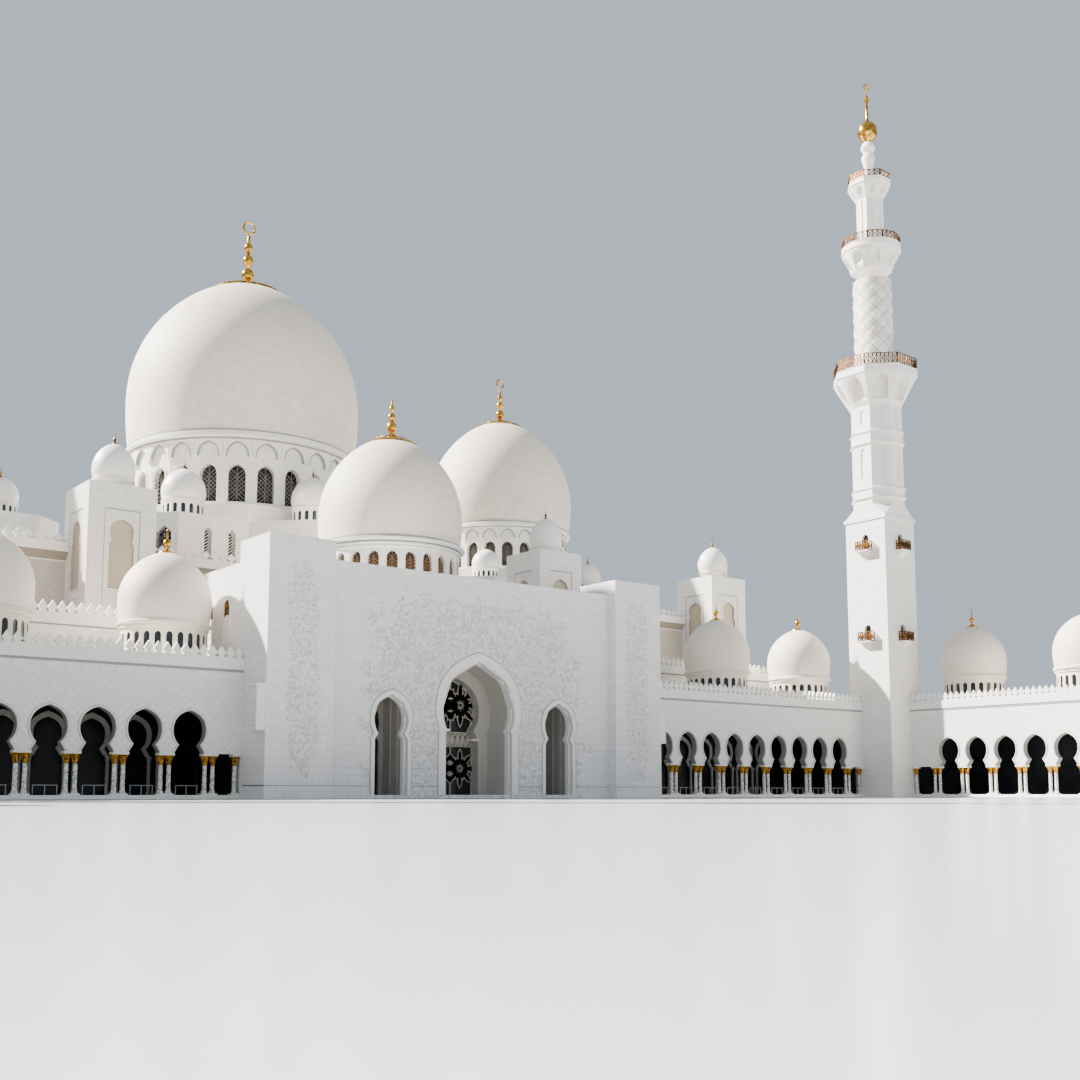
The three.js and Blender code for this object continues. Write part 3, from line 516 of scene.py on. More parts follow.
class Bench:
    """The modelling bench. Each method is a move made with Blender's own operators."""

    @staticmethod
    def clear() -> None:
        """Leaves edit mode and deselects everything."""
        if bpy.context.mode != "OBJECT":
            bpy.ops.object.mode_set(mode="OBJECT")
        bpy.ops.object.select_all(action="DESELECT")

    @staticmethod
    def select(made: Part) -> None:
        """Selects one object alone and makes it active."""
        Bench.clear()
        made.select_set(True)
        bpy.context.view_layer.objects.active = made

    @staticmethod
    def leave(made: Part) -> Part:
        """Closes seams, turns faces outwards and puts the object's place into its mesh.

        Args:
            made: The object in edit mode.

        Returns:
            The same object, at the origin.
        """
        bpy.ops.mesh.select_all(action="SELECT")
        bpy.ops.mesh.remove_doubles(threshold=MERGE)
        bpy.ops.mesh.normals_make_consistent(inside=False)
        Bench.select(made)
        bpy.ops.object.transform_apply(location=True, rotation=True, scale=True)
        return made

    @staticmethod
    def draw(points: Sequence[Spot]) -> Part:
        """Draws a chain of edges, and stays in edit mode.

        Args:
            points: The chain's corners in order.

        Returns:
            The object that holds the chain.
        """
        Bench.clear()
        bpy.ops.mesh.primitive_plane_add(size=1, location=points[0])
        bpy.ops.object.mode_set(mode="EDIT")
        bpy.ops.mesh.merge(type="CENTER")
        for before, after in zip(points, points[1:]):
            step = Vector(after) - Vector(before)
            bpy.ops.mesh.extrude_vertices_move(TRANSFORM_OT_translate={"value": step})
        return bpy.context.object

    @staticmethod
    def plate(points: Sequence[Spot], depth: Spot, taper: float = 1) -> Part:
        """Makes a solid plate from its outline.

        Args:
            points: The outline's corners in order, without the first one again.
            depth: The way and length that the outline is extruded.
            taper: The width along X of its far face against its near one.

        Returns:
            The closed plate.
        """
        made = Bench.draw([*points, points[0]])
        bpy.ops.mesh.select_all(action="SELECT")
        bpy.ops.mesh.remove_doubles(threshold=MERGE)
        bpy.ops.mesh.edge_face_add()
        bpy.ops.mesh.extrude_region_move(TRANSFORM_OT_translate={"value": depth})
        if taper != 1:
            bpy.ops.transform.resize(value=(taper, 1, 1), center_override=(0, 0, 0))
        return Bench.leave(made)

    @staticmethod
    def upright(outline: Outline, y: float, depth: float) -> Part:
        """Makes a plate that stands along X, from an outline in X and Z, with its front at y."""
        return Bench.plate([(x, y, z) for x, z in outline], (0, depth, 0))

    @staticmethod
    def level(outline: Outline, z: float, height: float) -> Part:
        """Makes a plate that lies level, from an outline in X and Y, with its underside at z."""
        return Bench.plate([(x, y, z) for x, y in outline], (0, 0, height))

    @staticmethod
    def turned(profile: Outline, steps: int, x: float = 0, y: float = 0, turn: float = 0) -> Part:
        """Spins a profile about an upright axis.

        Args:
            profile: The profile's radius and level at each corner.
            steps: The number of steps in the full turn.
            x: The axis's place along X.
            y: The axis's place along Y.
            turn: The angle of the first step.

        Returns:
            The turned solid.
        """
        across, along = math.cos(turn), math.sin(turn)
        made = Bench.draw([(x + r * across, y + r * along, z) for r, z in profile])
        bpy.ops.mesh.select_all(action="SELECT")
        bpy.ops.mesh.spin(steps=steps, angle=FULL_TURN, center=(x, y, 0), axis=(0, 0, 1))
        return Bench.leave(made)

    @staticmethod
    def ring(profile: Outline, steps: int, x: float = 0, y: float = 0, turn: float = 0) -> Part:
        """Spins a profile that closes on itself, such as a moulding's."""
        return Bench.turned([*profile, profile[0]], steps, x, y, turn)

    @staticmethod
    def hoop(radius: float, thick: float, centre: Spot) -> Part:
        """Makes an upright ring that faces the front.

        Args:
            radius: The radius of the ring's middle line.
            thick: Half the thickness of the ring.
            centre: Its centre.

        Returns:
            The ring.
        """
        angles = [i * FULL_TURN / 8 for i in range(9)]
        x, y, z = centre
        Bench.draw([(x + radius + thick * math.cos(a), y + thick * math.sin(a), z) for a in angles])
        bpy.ops.mesh.select_all(action="SELECT")
        bpy.ops.mesh.spin(steps=24, angle=FULL_TURN, center=centre, axis=(0, 1, 0))
        return Bench.leave(bpy.context.object)

    @staticmethod
    def hull(points: Sequence[Spot]) -> Part:
        """Stretches a skin over a set of corners.

        Args:
            points: The corners.

        Returns:
            The closed body.
        """
        made = Bench.draw(points)
        bpy.ops.mesh.select_all(action="SELECT")
        bpy.ops.mesh.convex_hull()
        return Bench.leave(made)

    @staticmethod
    def modify(made: Part, kind: str, **settings) -> Part:
        """Applies one modifier to an object.

        Args:
            made: The object to change.
            kind: The modifier's type.
            settings: The modifier's own options.

        Returns:
            The changed object.
        """
        Bench.select(made)
        modifier = made.modifiers.new(kind.title(), kind)
        for name, value in settings.items():
            setattr(modifier, name, value)
        bpy.ops.object.modifier_apply(modifier=modifier.name)
        return made

    @staticmethod
    def carve(made: Part, tool: Part) -> Part:
        """Cuts one object out of another; the tool goes.

        Args:
            made: The object to cut.
            tool: What is cut away.

        Returns:
            The cut object.
        """
        Bench.modify(made, "BOOLEAN", operation="DIFFERENCE", solver="EXACT", use_self=True, object=tool)
        bpy.data.objects.remove(tool)
        return made

    @staticmethod
    def block(near: Spot, far: Spot, bevel: float = 0.04) -> Part:
        """Makes a squared block with softened arrises.

        Args:
            near: One corner.
            far: The corner across from it.
            bevel: The width of the softened arrises.

        Returns:
            The block.
        """
        Bench.clear()
        spans = [sorted(pair) for pair in zip(near, far)]
        size = [b - a for a, b in spans]
        centre = [(a + b) / 2 for a, b in spans]
        bpy.ops.mesh.primitive_cube_add(size=1, location=centre, scale=size)
        made = bpy.context.object
        bpy.ops.object.mode_set(mode="EDIT")
        Bench.leave(made)
        if bevel:
            Bench.modify(made, "BEVEL", width=bevel, segments=1, limit_method="ANGLE",
                         angle_limit=ARRIS_ANGLE)
        return made

    @staticmethod
    def row(made: Part, count: int, step: Spot) -> Part:
        """Repeats an object in a row.

        Args:
            made: The object to repeat.
            count: How many there are in the row.
            step: The way from one to the next.

        Returns:
            The row as one object.
        """
        return Bench.modify(made, "ARRAY", count=count, use_relative_offset=False, use_constant_offset=True,
                            constant_offset_displace=step)

    @staticmethod
    def copy(made: Part, place: Matrix) -> Part:
        """Copies an object, with a mesh of its own, to another place.

        Args:
            made: The object to copy.
            place: The place of the copy.

        Returns:
            The copy.
        """
        other = made.copy()
        other.data = made.data.copy()
        bpy.context.scene.collection.objects.link(other)
        other.data.transform(place)
        if place.determinant() < 0:
            other.data.flip_normals()
        return other

    @staticmethod
    def scatter(made: Part, places: Iterable[Matrix]) -> Part:
        """Copies an object to each place and joins the copies; the first object goes.

        Args:
            made: The object to copy.
            places: Where each copy goes.

        Returns:
            The joined copies.
        """
        copies = [Bench.copy(made, place) for place in places]
        bpy.data.objects.remove(made)
        return Bench.join(copies)

    @staticmethod
    def around(made: Part, count: int, x: float = 0, y: float = 0, first: float = 0) -> Part:
        """Copies an object, modelled about the world's axis facing -Y, evenly around an upright axis."""
        return Bench.scatter(made, [placed(x, y, first + i * FULL_TURN / count) for i in range(count)])

    @staticmethod
    def join(parts: Sequence[Part]) -> Part:
        """Joins objects into one.

        Args:
            parts: The objects.

        Returns:
            The first of them, which holds them all.
        """
        Bench.clear()
        for part in parts:
            part.select_set(True)
        bpy.context.view_layer.objects.active = parts[0]
        if len(parts) > 1:
            bpy.ops.object.join()
        return parts[0]

    @staticmethod
    def finish_pair(
        name: str, parts: Sequence[Part], finish: Finish, replaces: Iterable[str] = (),
        place: Matrix = Matrix(),
    ) -> None:
        """Finishes a piece of the right-hand side and its mirror image on the left.

        Args:
            name: The piece's name, without its side.
            parts: The objects that make the right-hand one.
            finish: The finish that covers both.
            replaces: The nodes that they stand for, with {} for their side.
            place: Where the right-hand one goes.
        """
        right = Bench.join(parts)
        right.data.transform(place)
        left = Bench.copy(right, MIRROR)
        for side, made in (("left", left), ("right", right)):
            Bench.finish(f"{name}_{side}", [made], finish, [node.format(side) for node in replaces])

    @staticmethod
    def finish(name: str, parts: Sequence[Part], finish: Finish, replaces: Sequence[str] = ()) -> None:
        """Joins a piece's parts, brings them to the model's frame and hands the piece over.

        Args:
            name: The piece's name.
            parts: The objects that make it.
            finish: The finish that covers it.
            replaces: The nodes of the frame that it stands for.
        """
        made = Bench.join(parts)
        made.name = name
        made.data.name = name
        made.data.transform(Matrix.Translation((0, -FOOTPRINT_MIDDLE * SCALE, 0)) @ Matrix.Scale(SCALE, 4))
        Bench.select(made)
        bpy.ops.object.shade_smooth_by_angle(angle=SHARP_EDGE)
        made.data.materials.clear()
        made.data.materials.append(finish.material())
        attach(made, BODY)
        if replaces:
            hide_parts(*replaces)
        log.info("%s: %d faces", name, len(made.data.polygons))


def curve(start: tuple, bend: tuple, end: tuple, steps: int) -> Outline:
    """Points of a quadratic curve after its start.

    Args:
        start: Where it starts.
        bend: The corner that it bends towards.
        end: Where it ends.
        steps: The number of points.

    Returns:
        The points, ending with end.
    """
    return [
        tuple((1 - t) ** 2 * a + 2 * t * (1 - t) * b + t * t * c for a, b, c in zip(start, bend, end))
        for t in (i / steps for i in range(1, steps + 1))
    ]


@dataclass(frozen=True)
class KeyholeArch:
    """A keyhole arch: straight jambs, a pinched neck and a bulging, pointed head."""

    foot: float
    corbel: float
    pinch: float
    neck: float
    wide: float
    wide_at: float
    apex: float

    def outline(self, low: float, grow: float = 0, x: float = 0, steps: int = 7) -> Outline:
        """The arch's line from its left foot to its right one.

        Args:
            low: The level of its feet.
            grow: How far outside the opening the line runs.
            x: The arch's middle.
            steps: The points on each quarter.

        Returns:
            Points in X and Z.
        """
        wide, pinch, foot = self.wide + grow, self.pinch + grow, self.foot + grow
        rise = self.apex + 1.15 * grow - self.wide_at
        waist = (wide, self.neck + 0.4 * (self.wide_at - self.neck))
        right = [(foot, low)]
        if self.corbel > low:
            right.append((foot, self.corbel))
        right.append((pinch, self.neck))
        right += curve((pinch, self.neck), waist, (wide, self.wide_at), steps)
        shoulder = (wide, self.wide_at + 0.75 * rise)
        right += curve((wide, self.wide_at), shoulder, (0, self.wide_at + rise), steps)
        left = [(-px, z) for px, z in right[:-1]]
        return [(x + px, z) for px, z in left + right[::-1]]

    def band(self, low: float, inner: float, outer: float, x: float = 0) -> Outline:
        """A closed outline between two lines that run along the arch."""
        return self.outline(low, outer, x) + self.outline(low, inner, x)[::-1]


@dataclass(frozen=True)
class RoundArch:
    """A window's slightly pointed round arch."""

    half: float
    sill: float
    apex: float

    def outline(self, grow: float = 0, low: float | None = None) -> Outline:
        """The arch's line from its left foot to its right one, in X and Z.

        Args:
            grow: How much wider and higher it is than the opening.
            low: The level of its feet, if it isn't the sill.

        Returns:
            The line's points.
        """
        half = self.half + grow
        spring = self.apex - 1.25 * self.half
        foot = self.sill if low is None else low
        top = self.apex + grow
        right = [(half, foot), (half, spring)]
        right += curve((half, spring), (half * 0.98, spring + 0.78 * (top - spring)), (0, top), 6)
        return [(-x, z) for x, z in right[:-1]] + right[::-1]

    def band(self, inner: float, outer: float, low: float | None = None) -> Outline:
        """A closed outline between two lines that run along the arch."""
        return self.outline(outer, low) + self.outline(inner, low)[::-1]

    def lattice(self, y: float, pitch: float, thick: float, depth: float = 0.1) -> Parts:
        """Crossed bars that fill the window.

        Args:
            y: Where the lattice stands.
            pitch: The spacing of its bars.
            thick: The width of a bar.
            depth: The depth of a bar.

        Returns:
            The bars and a middle post.
        """
        height = self.apex - self.sill - self.half * 0.55
        middle = self.sill + height / 2
        length = math.hypot(2 * self.half, 2 * self.half)
        bar = Bench.block((-length / 2, y, -thick / 2), (length / 2, y + depth, thick / 2), 0)
        count = max(2, round(height / pitch))
        places = []
        for i in range(count):
            z = middle + (i - (count - 1) / 2) * (height - 2 * self.half * 0.7) / max(1, count - 1)
            for angle in (math.pi / 4, -math.pi / 4):
                places.append(Matrix.Translation((0, 0, z)) @ Matrix.Rotation(angle, 4, "Y"))
        bars = Bench.scatter(bar, places)
        post = Bench.block((-thick / 2, y, self.sill), (thick / 2, y + depth, self.apex - 0.1), 0)
        return [bars, post]


def closed_arches(x0: float, x1: float, z0: float, z1: float,
                  arches: Iterable[tuple[float, KeyholeArch]]) -> Outline:
    """The outline of a wall with keyhole arches along its lower edge.

    Args:
        x0: The wall's left end.
        x1: Its right end.
        z0: Its lower edge.
        z1: Its top.
        arches: The middle and shape of each arch, from left to right.

    Returns:
        A closed outline in X and Z.
    """
    points = [(x0, z0)]
    for x, arch in arches:
        points += arch.outline(z0, 0, x, 5)
    return points + [(x1, z0), (x1, z1), (x0, z1)]


MERLON = [(0.5, 0.0), (0.5, 0.08), (0.26, 0.16), (0.2, 0.22), (0.44, 0.4), (0.46, 0.48), (0.34, 0.6),
          (0.2, 0.76), (0.07, 0.92)]
SPADE = [(0.5, 0.0), (0.5, 0.1), (0.16, 0.12), (0.15, 0.3), (0.42, 0.44), (0.44, 0.56), (0.3, 0.7),
         (0.12, 0.85)]
BAND = [(-0.1, 0.0), (0.16, 0.0), (0.16, 1.0), (-0.1, 1.0)]
COPING = [(-0.1, 0.0), (0.06, 0.0), (0.06, 0.2), (-0.1, 0.2)]
SOFFIT = [(-0.1, 0.0), (0.0, 0.0), (0.72, 0.85), (-0.1, 0.85)]
EAVES = [(-0.1, 0.0), (0.8, 0.0), (0.8, 1.0), (-0.1, 1.0)]
LINE = [(-0.1, 0.0), (0.03, 0.0), (0.03, 0.07), (-0.1, 0.07)]


@dataclass(frozen=True)
class WallLine:
    """The line of a wall, walked with the building on the left."""

    start: tuple[float, float]
    end: tuple[float, float]

    def directions(self) -> tuple[Vector, Vector, float]:
        """The way along the wall, the way out of it, and its length."""
        run = Vector((self.end[0] - self.start[0], self.end[1] - self.start[1], 0))
        along = run.normalized()
        return along, Vector((along.y, -along.x, 0)), run.length

    def moulding(self, profile: Outline, low: float, size: float = 1.0) -> Part:
        """Runs a moulding along the wall.

        Args:
            profile: How far it stands out and its level, at each corner.
            low: The level that it starts at.
            size: Its size against the profile's.

        Returns:
            The moulding.
        """
        along, out, length = self.directions()
        start = Vector((*self.start, low))
        points = [start + out * (proud * size) + UP * (level * size) for proud, level in profile]
        return Bench.plate([tuple(point) for point in points], tuple(along * length))

    def crest(self, base: float, height: float, shape: Outline, pitch: float = 1.06) -> Part:
        """Sets a row of leaf-shaped merlons on the wall.

        Args:
            base: The level of the wall's top.
            height: The height of a merlon.
            shape: The right-hand half of a merlon, in parts of the pitch and the height.
            pitch: Their spacing, before it is fitted to the wall's length.

        Returns:
            The row.
        """
        along, out, length = self.directions()
        count = round(length / pitch)
        pitch = length / count
        outline = [(-x, z) for x, z in shape] + [(0.0, 1.0)] + shape[::-1]
        start = Vector((*self.start, base)) + along * (pitch / 2)
        points = [start + along * (x * pitch) + UP * (z * height) for x, z in outline]
        merlon = Bench.plate([tuple(point) for point in points], tuple(out * -0.32))
        return Bench.row(merlon, count, tuple(along * pitch))


def octagon(apothem: float) -> Outline:
    """A regular eight-sided outline with a flat side in front."""
    radius = apothem / math.cos(HALF_SIDE)
    angles = [HALF_SIDE + i * math.pi / 4 for i in range(8)]
    return [(radius * math.cos(a), radius * math.sin(a)) for a in angles]


def around_block(x0: float, x1: float, y0: float, y1: float) -> list[WallLine]:
    """The four wall lines of a rectangular block, front first."""
    corners = [(x0, y0), (x1, y0), (x1, y1), (x0, y1)]
    return [WallLine(a, b) for a, b in zip(corners, corners[1:] + corners[:1])]


@dataclass(frozen=True)
class Dome:
    """A bulging marble dome on a drum of arched windows."""

    x: float
    y: float
    radius: float
    foot: float
    drum: float
    shell: float
    base: float
    rim: float
    rim_radius: float
    widest: float
    apex: float
    seat: float
    sill: float
    arch: float
    window_half: float
    scallops: tuple[float, float] = (0.0, 0.0)
    windows: int = 24
    steps: int = 72

    def curve(self, inset: float = 0, lower: int = 6, upper: int = 16) -> Outline:
        """The dome's line from its foot to the flat seat on its crown, in radius and level.

        Args:
            inset: How far inside the shell it runs.
            lower: The points below the widest ring.
            upper: The points above it.

        Returns:
            The line's points.
        """
        widest, foot = self.radius - inset, self.foot - inset
        low = self.rim + 0.03 * self.radius
        points = []
        for i in range(lower):
            part = i / lower
            points.append((foot + (widest - foot) * math.sin(part * QUARTER),
                           low + (self.widest - low) * part))
        rise = self.apex - inset - self.widest
        last = math.acos((self.seat / widest) ** (1 / TAPER))
        for i in range(upper + 1):
            angle = i / upper * last
            points.append((widest * math.cos(angle) ** TAPER, self.widest + rise * math.sin(angle) ** RISE))
        return points

    def seat_level(self) -> float:
        """The level of the flat seat on the crown."""
        return self.curve(0, 1, 1)[-1][1]

    def skirt(self, reach: float) -> Part:
        """Turns the gilded skirt that hugs the crown.

        Args:
            reach: The skirt's radius at its edge.

        Returns:
            The skirt.
        """
        line, steps = [], 5
        for i in range(steps + 1):
            across = reach + (self.seat - reach) * i / steps
            climb = math.sin(math.acos((across / self.radius) ** (1 / TAPER))) ** RISE
            line.append((across, self.widest + (self.apex - self.widest) * climb))
        upper = [(across, z + 0.02 * self.radius) for across, z in line]
        return Bench.ring([*line, *upper[::-1]], 40, self.x, self.y)

    def cap(self) -> Parts:
        """Turns the hollow bulging shell."""
        outer, inner = self.curve(), self.curve(self.shell, 2, 7)
        profile = [(0, outer[-1][1]), *outer[::-1], *inner, (0, inner[-1][1])]
        return [Bench.turned(profile, self.steps, self.x, self.y)]

    def drum_wall(self) -> Parts:
        """Builds the drum from one pierced bay, with scallops or rings over its windows and a deep lip."""
        bead = 0.03 * self.radius
        top, turn = self.rim - 0.6 * bead, math.pi / self.windows
        half = self.drum * math.tan(turn)
        window = RoundArch(self.window_half, self.sill, self.arch)
        jambs = [(-half, self.sill), (-half, top), (half, top), (half, self.sill)]
        taper = (self.drum - self.shell) / self.drum
        bay = Bench.plate([(x, -self.drum, z) for x, z in jambs + window.outline()[::-1]],
                          (0, self.shell, 0), taper)
        frame = Bench.upright(window.band(0, 0.22 * self.window_half, self.sill), -self.drum - 0.25 * bead,
                              0.5 * bead)
        parts, rings = [bay, frame], []
        corner = 1 / math.cos(turn)
        inner, outer = (self.drum - self.shell) * corner, self.drum * corner
        low, apex = self.scallops
        if low:
            wide = half + 0.02
            arch = RoundArch(0.8 * half, low, apex)
            outline = [(-wide, low), *arch.outline(), (wide, low), (wide, top + 0.3), (-wide, top + 0.3)]
            parts.append(Bench.upright(outline, -self.drum - 0.8 * bead, 0.85 * bead))
        else:
            for level, proud in ((self.arch + 0.35, 0.3), (self.arch + 0.7, 0.75)):
                reach = outer + proud * bead
                rings.append([(self.drum - 0.2, level), (reach, level), (reach + 0.05, level + 0.12),
                              (reach, level + 0.24), (self.drum - 0.2, level + 0.24)])
        bays = Bench.around(Bench.join(parts), self.windows, self.x, self.y)
        foot = Bench.ring([(inner, self.base), (outer, self.base), (outer, self.sill), (inner, self.sill)],
                          self.windows, self.x, self.y, turn)
        lip, edge = self.rim_radius, self.foot + 0.3 * bead
        rings.append([
            (self.drum - 0.3, top - 0.1 * bead), (outer + 0.6 * bead, top - 0.1 * bead),
            (lip, self.rim - 0.2 * bead), (lip, self.rim + 0.45 * bead),
            (edge + 0.25 * bead, self.rim + 0.62 * bead), (edge + 0.25 * bead, self.rim + 1.25 * bead),
            (self.foot - 0.3, self.rim + 1.3 * bead), (self.drum - 0.3, self.rim),
        ])
        return [bays, foot, *(Bench.ring(line, self.steps, self.x, self.y) for line in rings)]

    def groove(self) -> Parts:
        """Turns dark grey rings over and under the lip, painted as the shade at its joints, and paints the
        shadow along the edge of each scallop.
        """
        bead = 0.03 * self.radius
        outer = self.drum / math.cos(math.pi / self.windows)
        parts = []
        for low, high, far in ((1.2, 1.65, self.foot + 0.3 * bead + 0.1), (-1.0, -0.66, outer + 0.95 * bead)):
            a, b = self.rim + low * bead, self.rim + high * bead
            parts.append(Bench.ring([(self.drum - 0.2, a), (far, a), (far, b), (self.drum - 0.2, b)],
                                    self.steps, self.x, self.y))
        if self.scallops[0]:
            half = 0.8 * self.drum * math.tan(math.pi / self.windows)
            arch = RoundArch(half, *self.scallops)
            # Dark grey band painted as the shadow along each scallop's edge.
            edge = Bench.upright(arch.band(-0.16, 0.03), -self.drum - 0.78 * bead, 0.6 * bead)
            parts.append(Bench.around(edge, self.windows, self.x, self.y))
        return parts

    def lattices(self, pitch: float, thick: float) -> Parts:
        """Fills each window with a crossed lattice."""
        window = RoundArch(self.window_half, self.sill, self.arch)
        parts = window.lattice(-self.drum + 0.3 * self.shell, pitch, thick, thick * 0.8)
        return [Bench.around(Bench.join(parts), self.windows, self.x, self.y)]

    def build(
        self, node: str, piece: str, gilded: str, gold: "Finial", skirt: float, pitch: float, thick: float,
        bars: Finish,
    ) -> None:
        """Builds the dome in place of its node, and its finial.

        Args:
            node: The node that it replaces.
            piece: The name of its finial's piece.
            gilded: The node that the finial replaces.
            gold: The finial.
            skirt: The radius of the gilded skirt.
            pitch: The spacing of the window lattice's crossings.
            thick: The width of its bars.
            bars: The finish of its bars.
        """
        tiles = DomeMarble(f"{node}_marble_tiles", centre=model_spot(self.x, self.y, self.widest),
                           radius=self.radius * SCALE)
        Bench.finish(f"{node}_shell", self.cap(), tiles, [node])
        Bench.finish(f"{node}_drum", self.drum_wall(), PLAIN, [node])
        # Dark grey rings and bands painted as the shade at the lip and the scallops.
        Bench.finish(f"{node}_groove", self.groove(), DARK_GREY_AND_PAINTED_SHADOW)
        Bench.finish(f"{node}_lattice", self.lattices(pitch, thick), bars)
        Bench.finish(piece, [*gold.build(self.x, self.y), self.skirt(skirt)], GOLD, [gilded])


@dataclass(frozen=True)
class Finial:
    """A gilded finial: a flared cap of leaves, bulbs on a stem, a point and sometimes a ring."""

    cap: float
    foot: float
    neck: float
    bulbs: tuple[tuple[float, float], ...]
    tip: float
    ring: float = 0.0

    def profile(self) -> Outline:
        """The finial's line from its foot to its tip."""
        cap, foot = self.cap, self.foot
        level, radius = self.bulbs[0]
        flare = min(0.62 * cap, level - 1.15 * radius - foot)
        points = [(0.0, foot)]
        for across, rise in ((1.0, 0.0), (1.01, 0.08), (0.86, 0.16), (0.66, 0.27), (0.45, 0.45),
                             (0.24, 0.74)):
            points.append((across * cap, foot + rise * flare))
        points.append((self.neck * 1.3, foot + flare))
        for level, radius in self.bulbs:
            for degrees in (-75, -45, -15, 15, 45, 75):
                angle = math.radians(degrees)
                across = self.neck + (radius - self.neck) * math.cos(angle)
                points.append((across, level + 1.05 * radius * math.sin(angle)))
            points.append((self.neck, level + 1.12 * radius))
        return points + [(self.neck * 0.8, self.tip - 0.5), (0.0, self.tip)]

    def build(self, x: float, y: float, steps: int = 20) -> Parts:
        """Turns the finial and cuts its leaves.

        Args:
            x: Where it stands along X.
            y: Where it stands along Y.
            steps: The sides of each ring.

        Returns:
            The gilded pieces.
        """
        parts = [Bench.turned(self.profile(), steps, x, y)]
        cap, foot = self.cap, self.foot
        leaf = Bench.plate(
            [(-0.11 * cap, -cap, foot - 0.16 * cap), (0, -1.03 * cap, foot - 0.28 * cap),
             (0.11 * cap, -cap, foot - 0.16 * cap), (0.13 * cap, -0.86 * cap, foot + 0.16 * cap),
             (-0.13 * cap, -0.86 * cap, foot + 0.16 * cap)], (0, 0.06 * cap, -0.02 * cap))
        parts.append(Bench.around(leaf, 16, x, y))
        if self.ring:
            parts.append(Bench.hoop(self.ring, 0.17 * self.ring, (x, y, self.tip + 0.9 * self.ring)))
        return parts


@dataclass(frozen=True)
class Lantern:
    """A small dome on a windowed or plain drum, set over the one that the roof's solid carries."""

    radius: float
    drum: float
    rim: float
    height: float
    windows: int = 16
    spike: float = 1.6

    def stone(self, z: float) -> Parts:
        """Builds the drum's posts, its rim and the smooth shell, about the world's axis.

        Args:
            z: The level that the lantern stands on.

        Returns:
            The pieces of stone.
        """
        skin = 0.1
        apothem = self.drum + skin
        if self.windows:
            half = apothem * math.tan(math.pi / self.windows)
            window = RoundArch(0.5 * half, z + 0.3 * self.rim, z + 0.82 * self.rim)
            outline = [(-half, z), (-half, z + self.rim), (half, z + self.rim), (half, z)]
            hole = [(0.5 * half, z + 0.3 * self.rim)] + window.outline()[::-1]
            posts = Bench.upright(outline + [(0.5 * half, z)] + hole + [(-0.5 * half, z)], -apothem,
                                  skin * 0.6)
            sill = Bench.block((-half, -apothem, z), (half, -apothem + 0.06, z + 0.3 * self.rim), 0)
            wall = Bench.around(Bench.join([posts, sill]), self.windows)
        else:
            top, inner = z + self.rim, apothem - 0.3
            wall = Bench.ring([(inner, z), (apothem, z), (apothem, top), (inner, top)], 24)
        widest = z + self.rim + (self.height - self.rim) * 0.3
        rise = self.height + z - widest
        shell = [(0.0, z + self.rim - 0.05), (self.drum + skin, z + self.rim - 0.05)]
        for i in range(5):
            a = i / 4
            across = self.drum + (self.radius - self.drum) * math.sin(a * QUARTER)
            shell.append((across + 0.05, z + self.rim + 0.15 + (widest - z - self.rim - 0.15) * a))
        for i in range(1, 10):
            a = i / 9 * QUARTER
            across = (self.radius + 0.05) * max(0.0, math.cos(a)) ** TAPER
            shell.append((across if i < 9 else 0.0, widest + (rise + 0.05) * math.sin(a) ** RISE))
        edge = apothem + 0.02
        line = [(edge - 0.2, z + self.rim - 0.1), (edge + 0.12, z + self.rim - 0.08),
                (edge + 0.14, z + self.rim + 0.1), (edge - 0.2, z + self.rim + 0.16)]
        foot = [(edge - 0.2, z - 0.02), (edge + 0.12, z - 0.02), (edge + 0.12, z + 0.14),
                (edge - 0.2, z + 0.2)]
        return [wall, Bench.turned(shell, 24), Bench.ring(line, 24), Bench.ring(foot, 24)]

    def panes(self, z: float) -> Parts:
        """Builds the dark band behind the drum's posts."""
        outer = (self.drum + 0.03) / math.cos(math.pi / 24)
        return [Bench.ring([(outer - 0.1, z), (outer, z), (outer, z + self.rim),
                            (outer - 0.1, z + self.rim)], 24)]

    def spikes(self, z: float) -> Parts:
        """Builds the gilded spike on the crown."""
        top = z + self.height
        profile = [(0.0, top - 0.12), (0.34, top - 0.1), (0.2, top + 0.14), (0.1, top + 0.3),
                   (0.19, top + 0.5), (0.08, top + 0.7), (0.04, top + 1.0), (0.0, top + self.spike)]
        return [Bench.turned(profile, 10)]


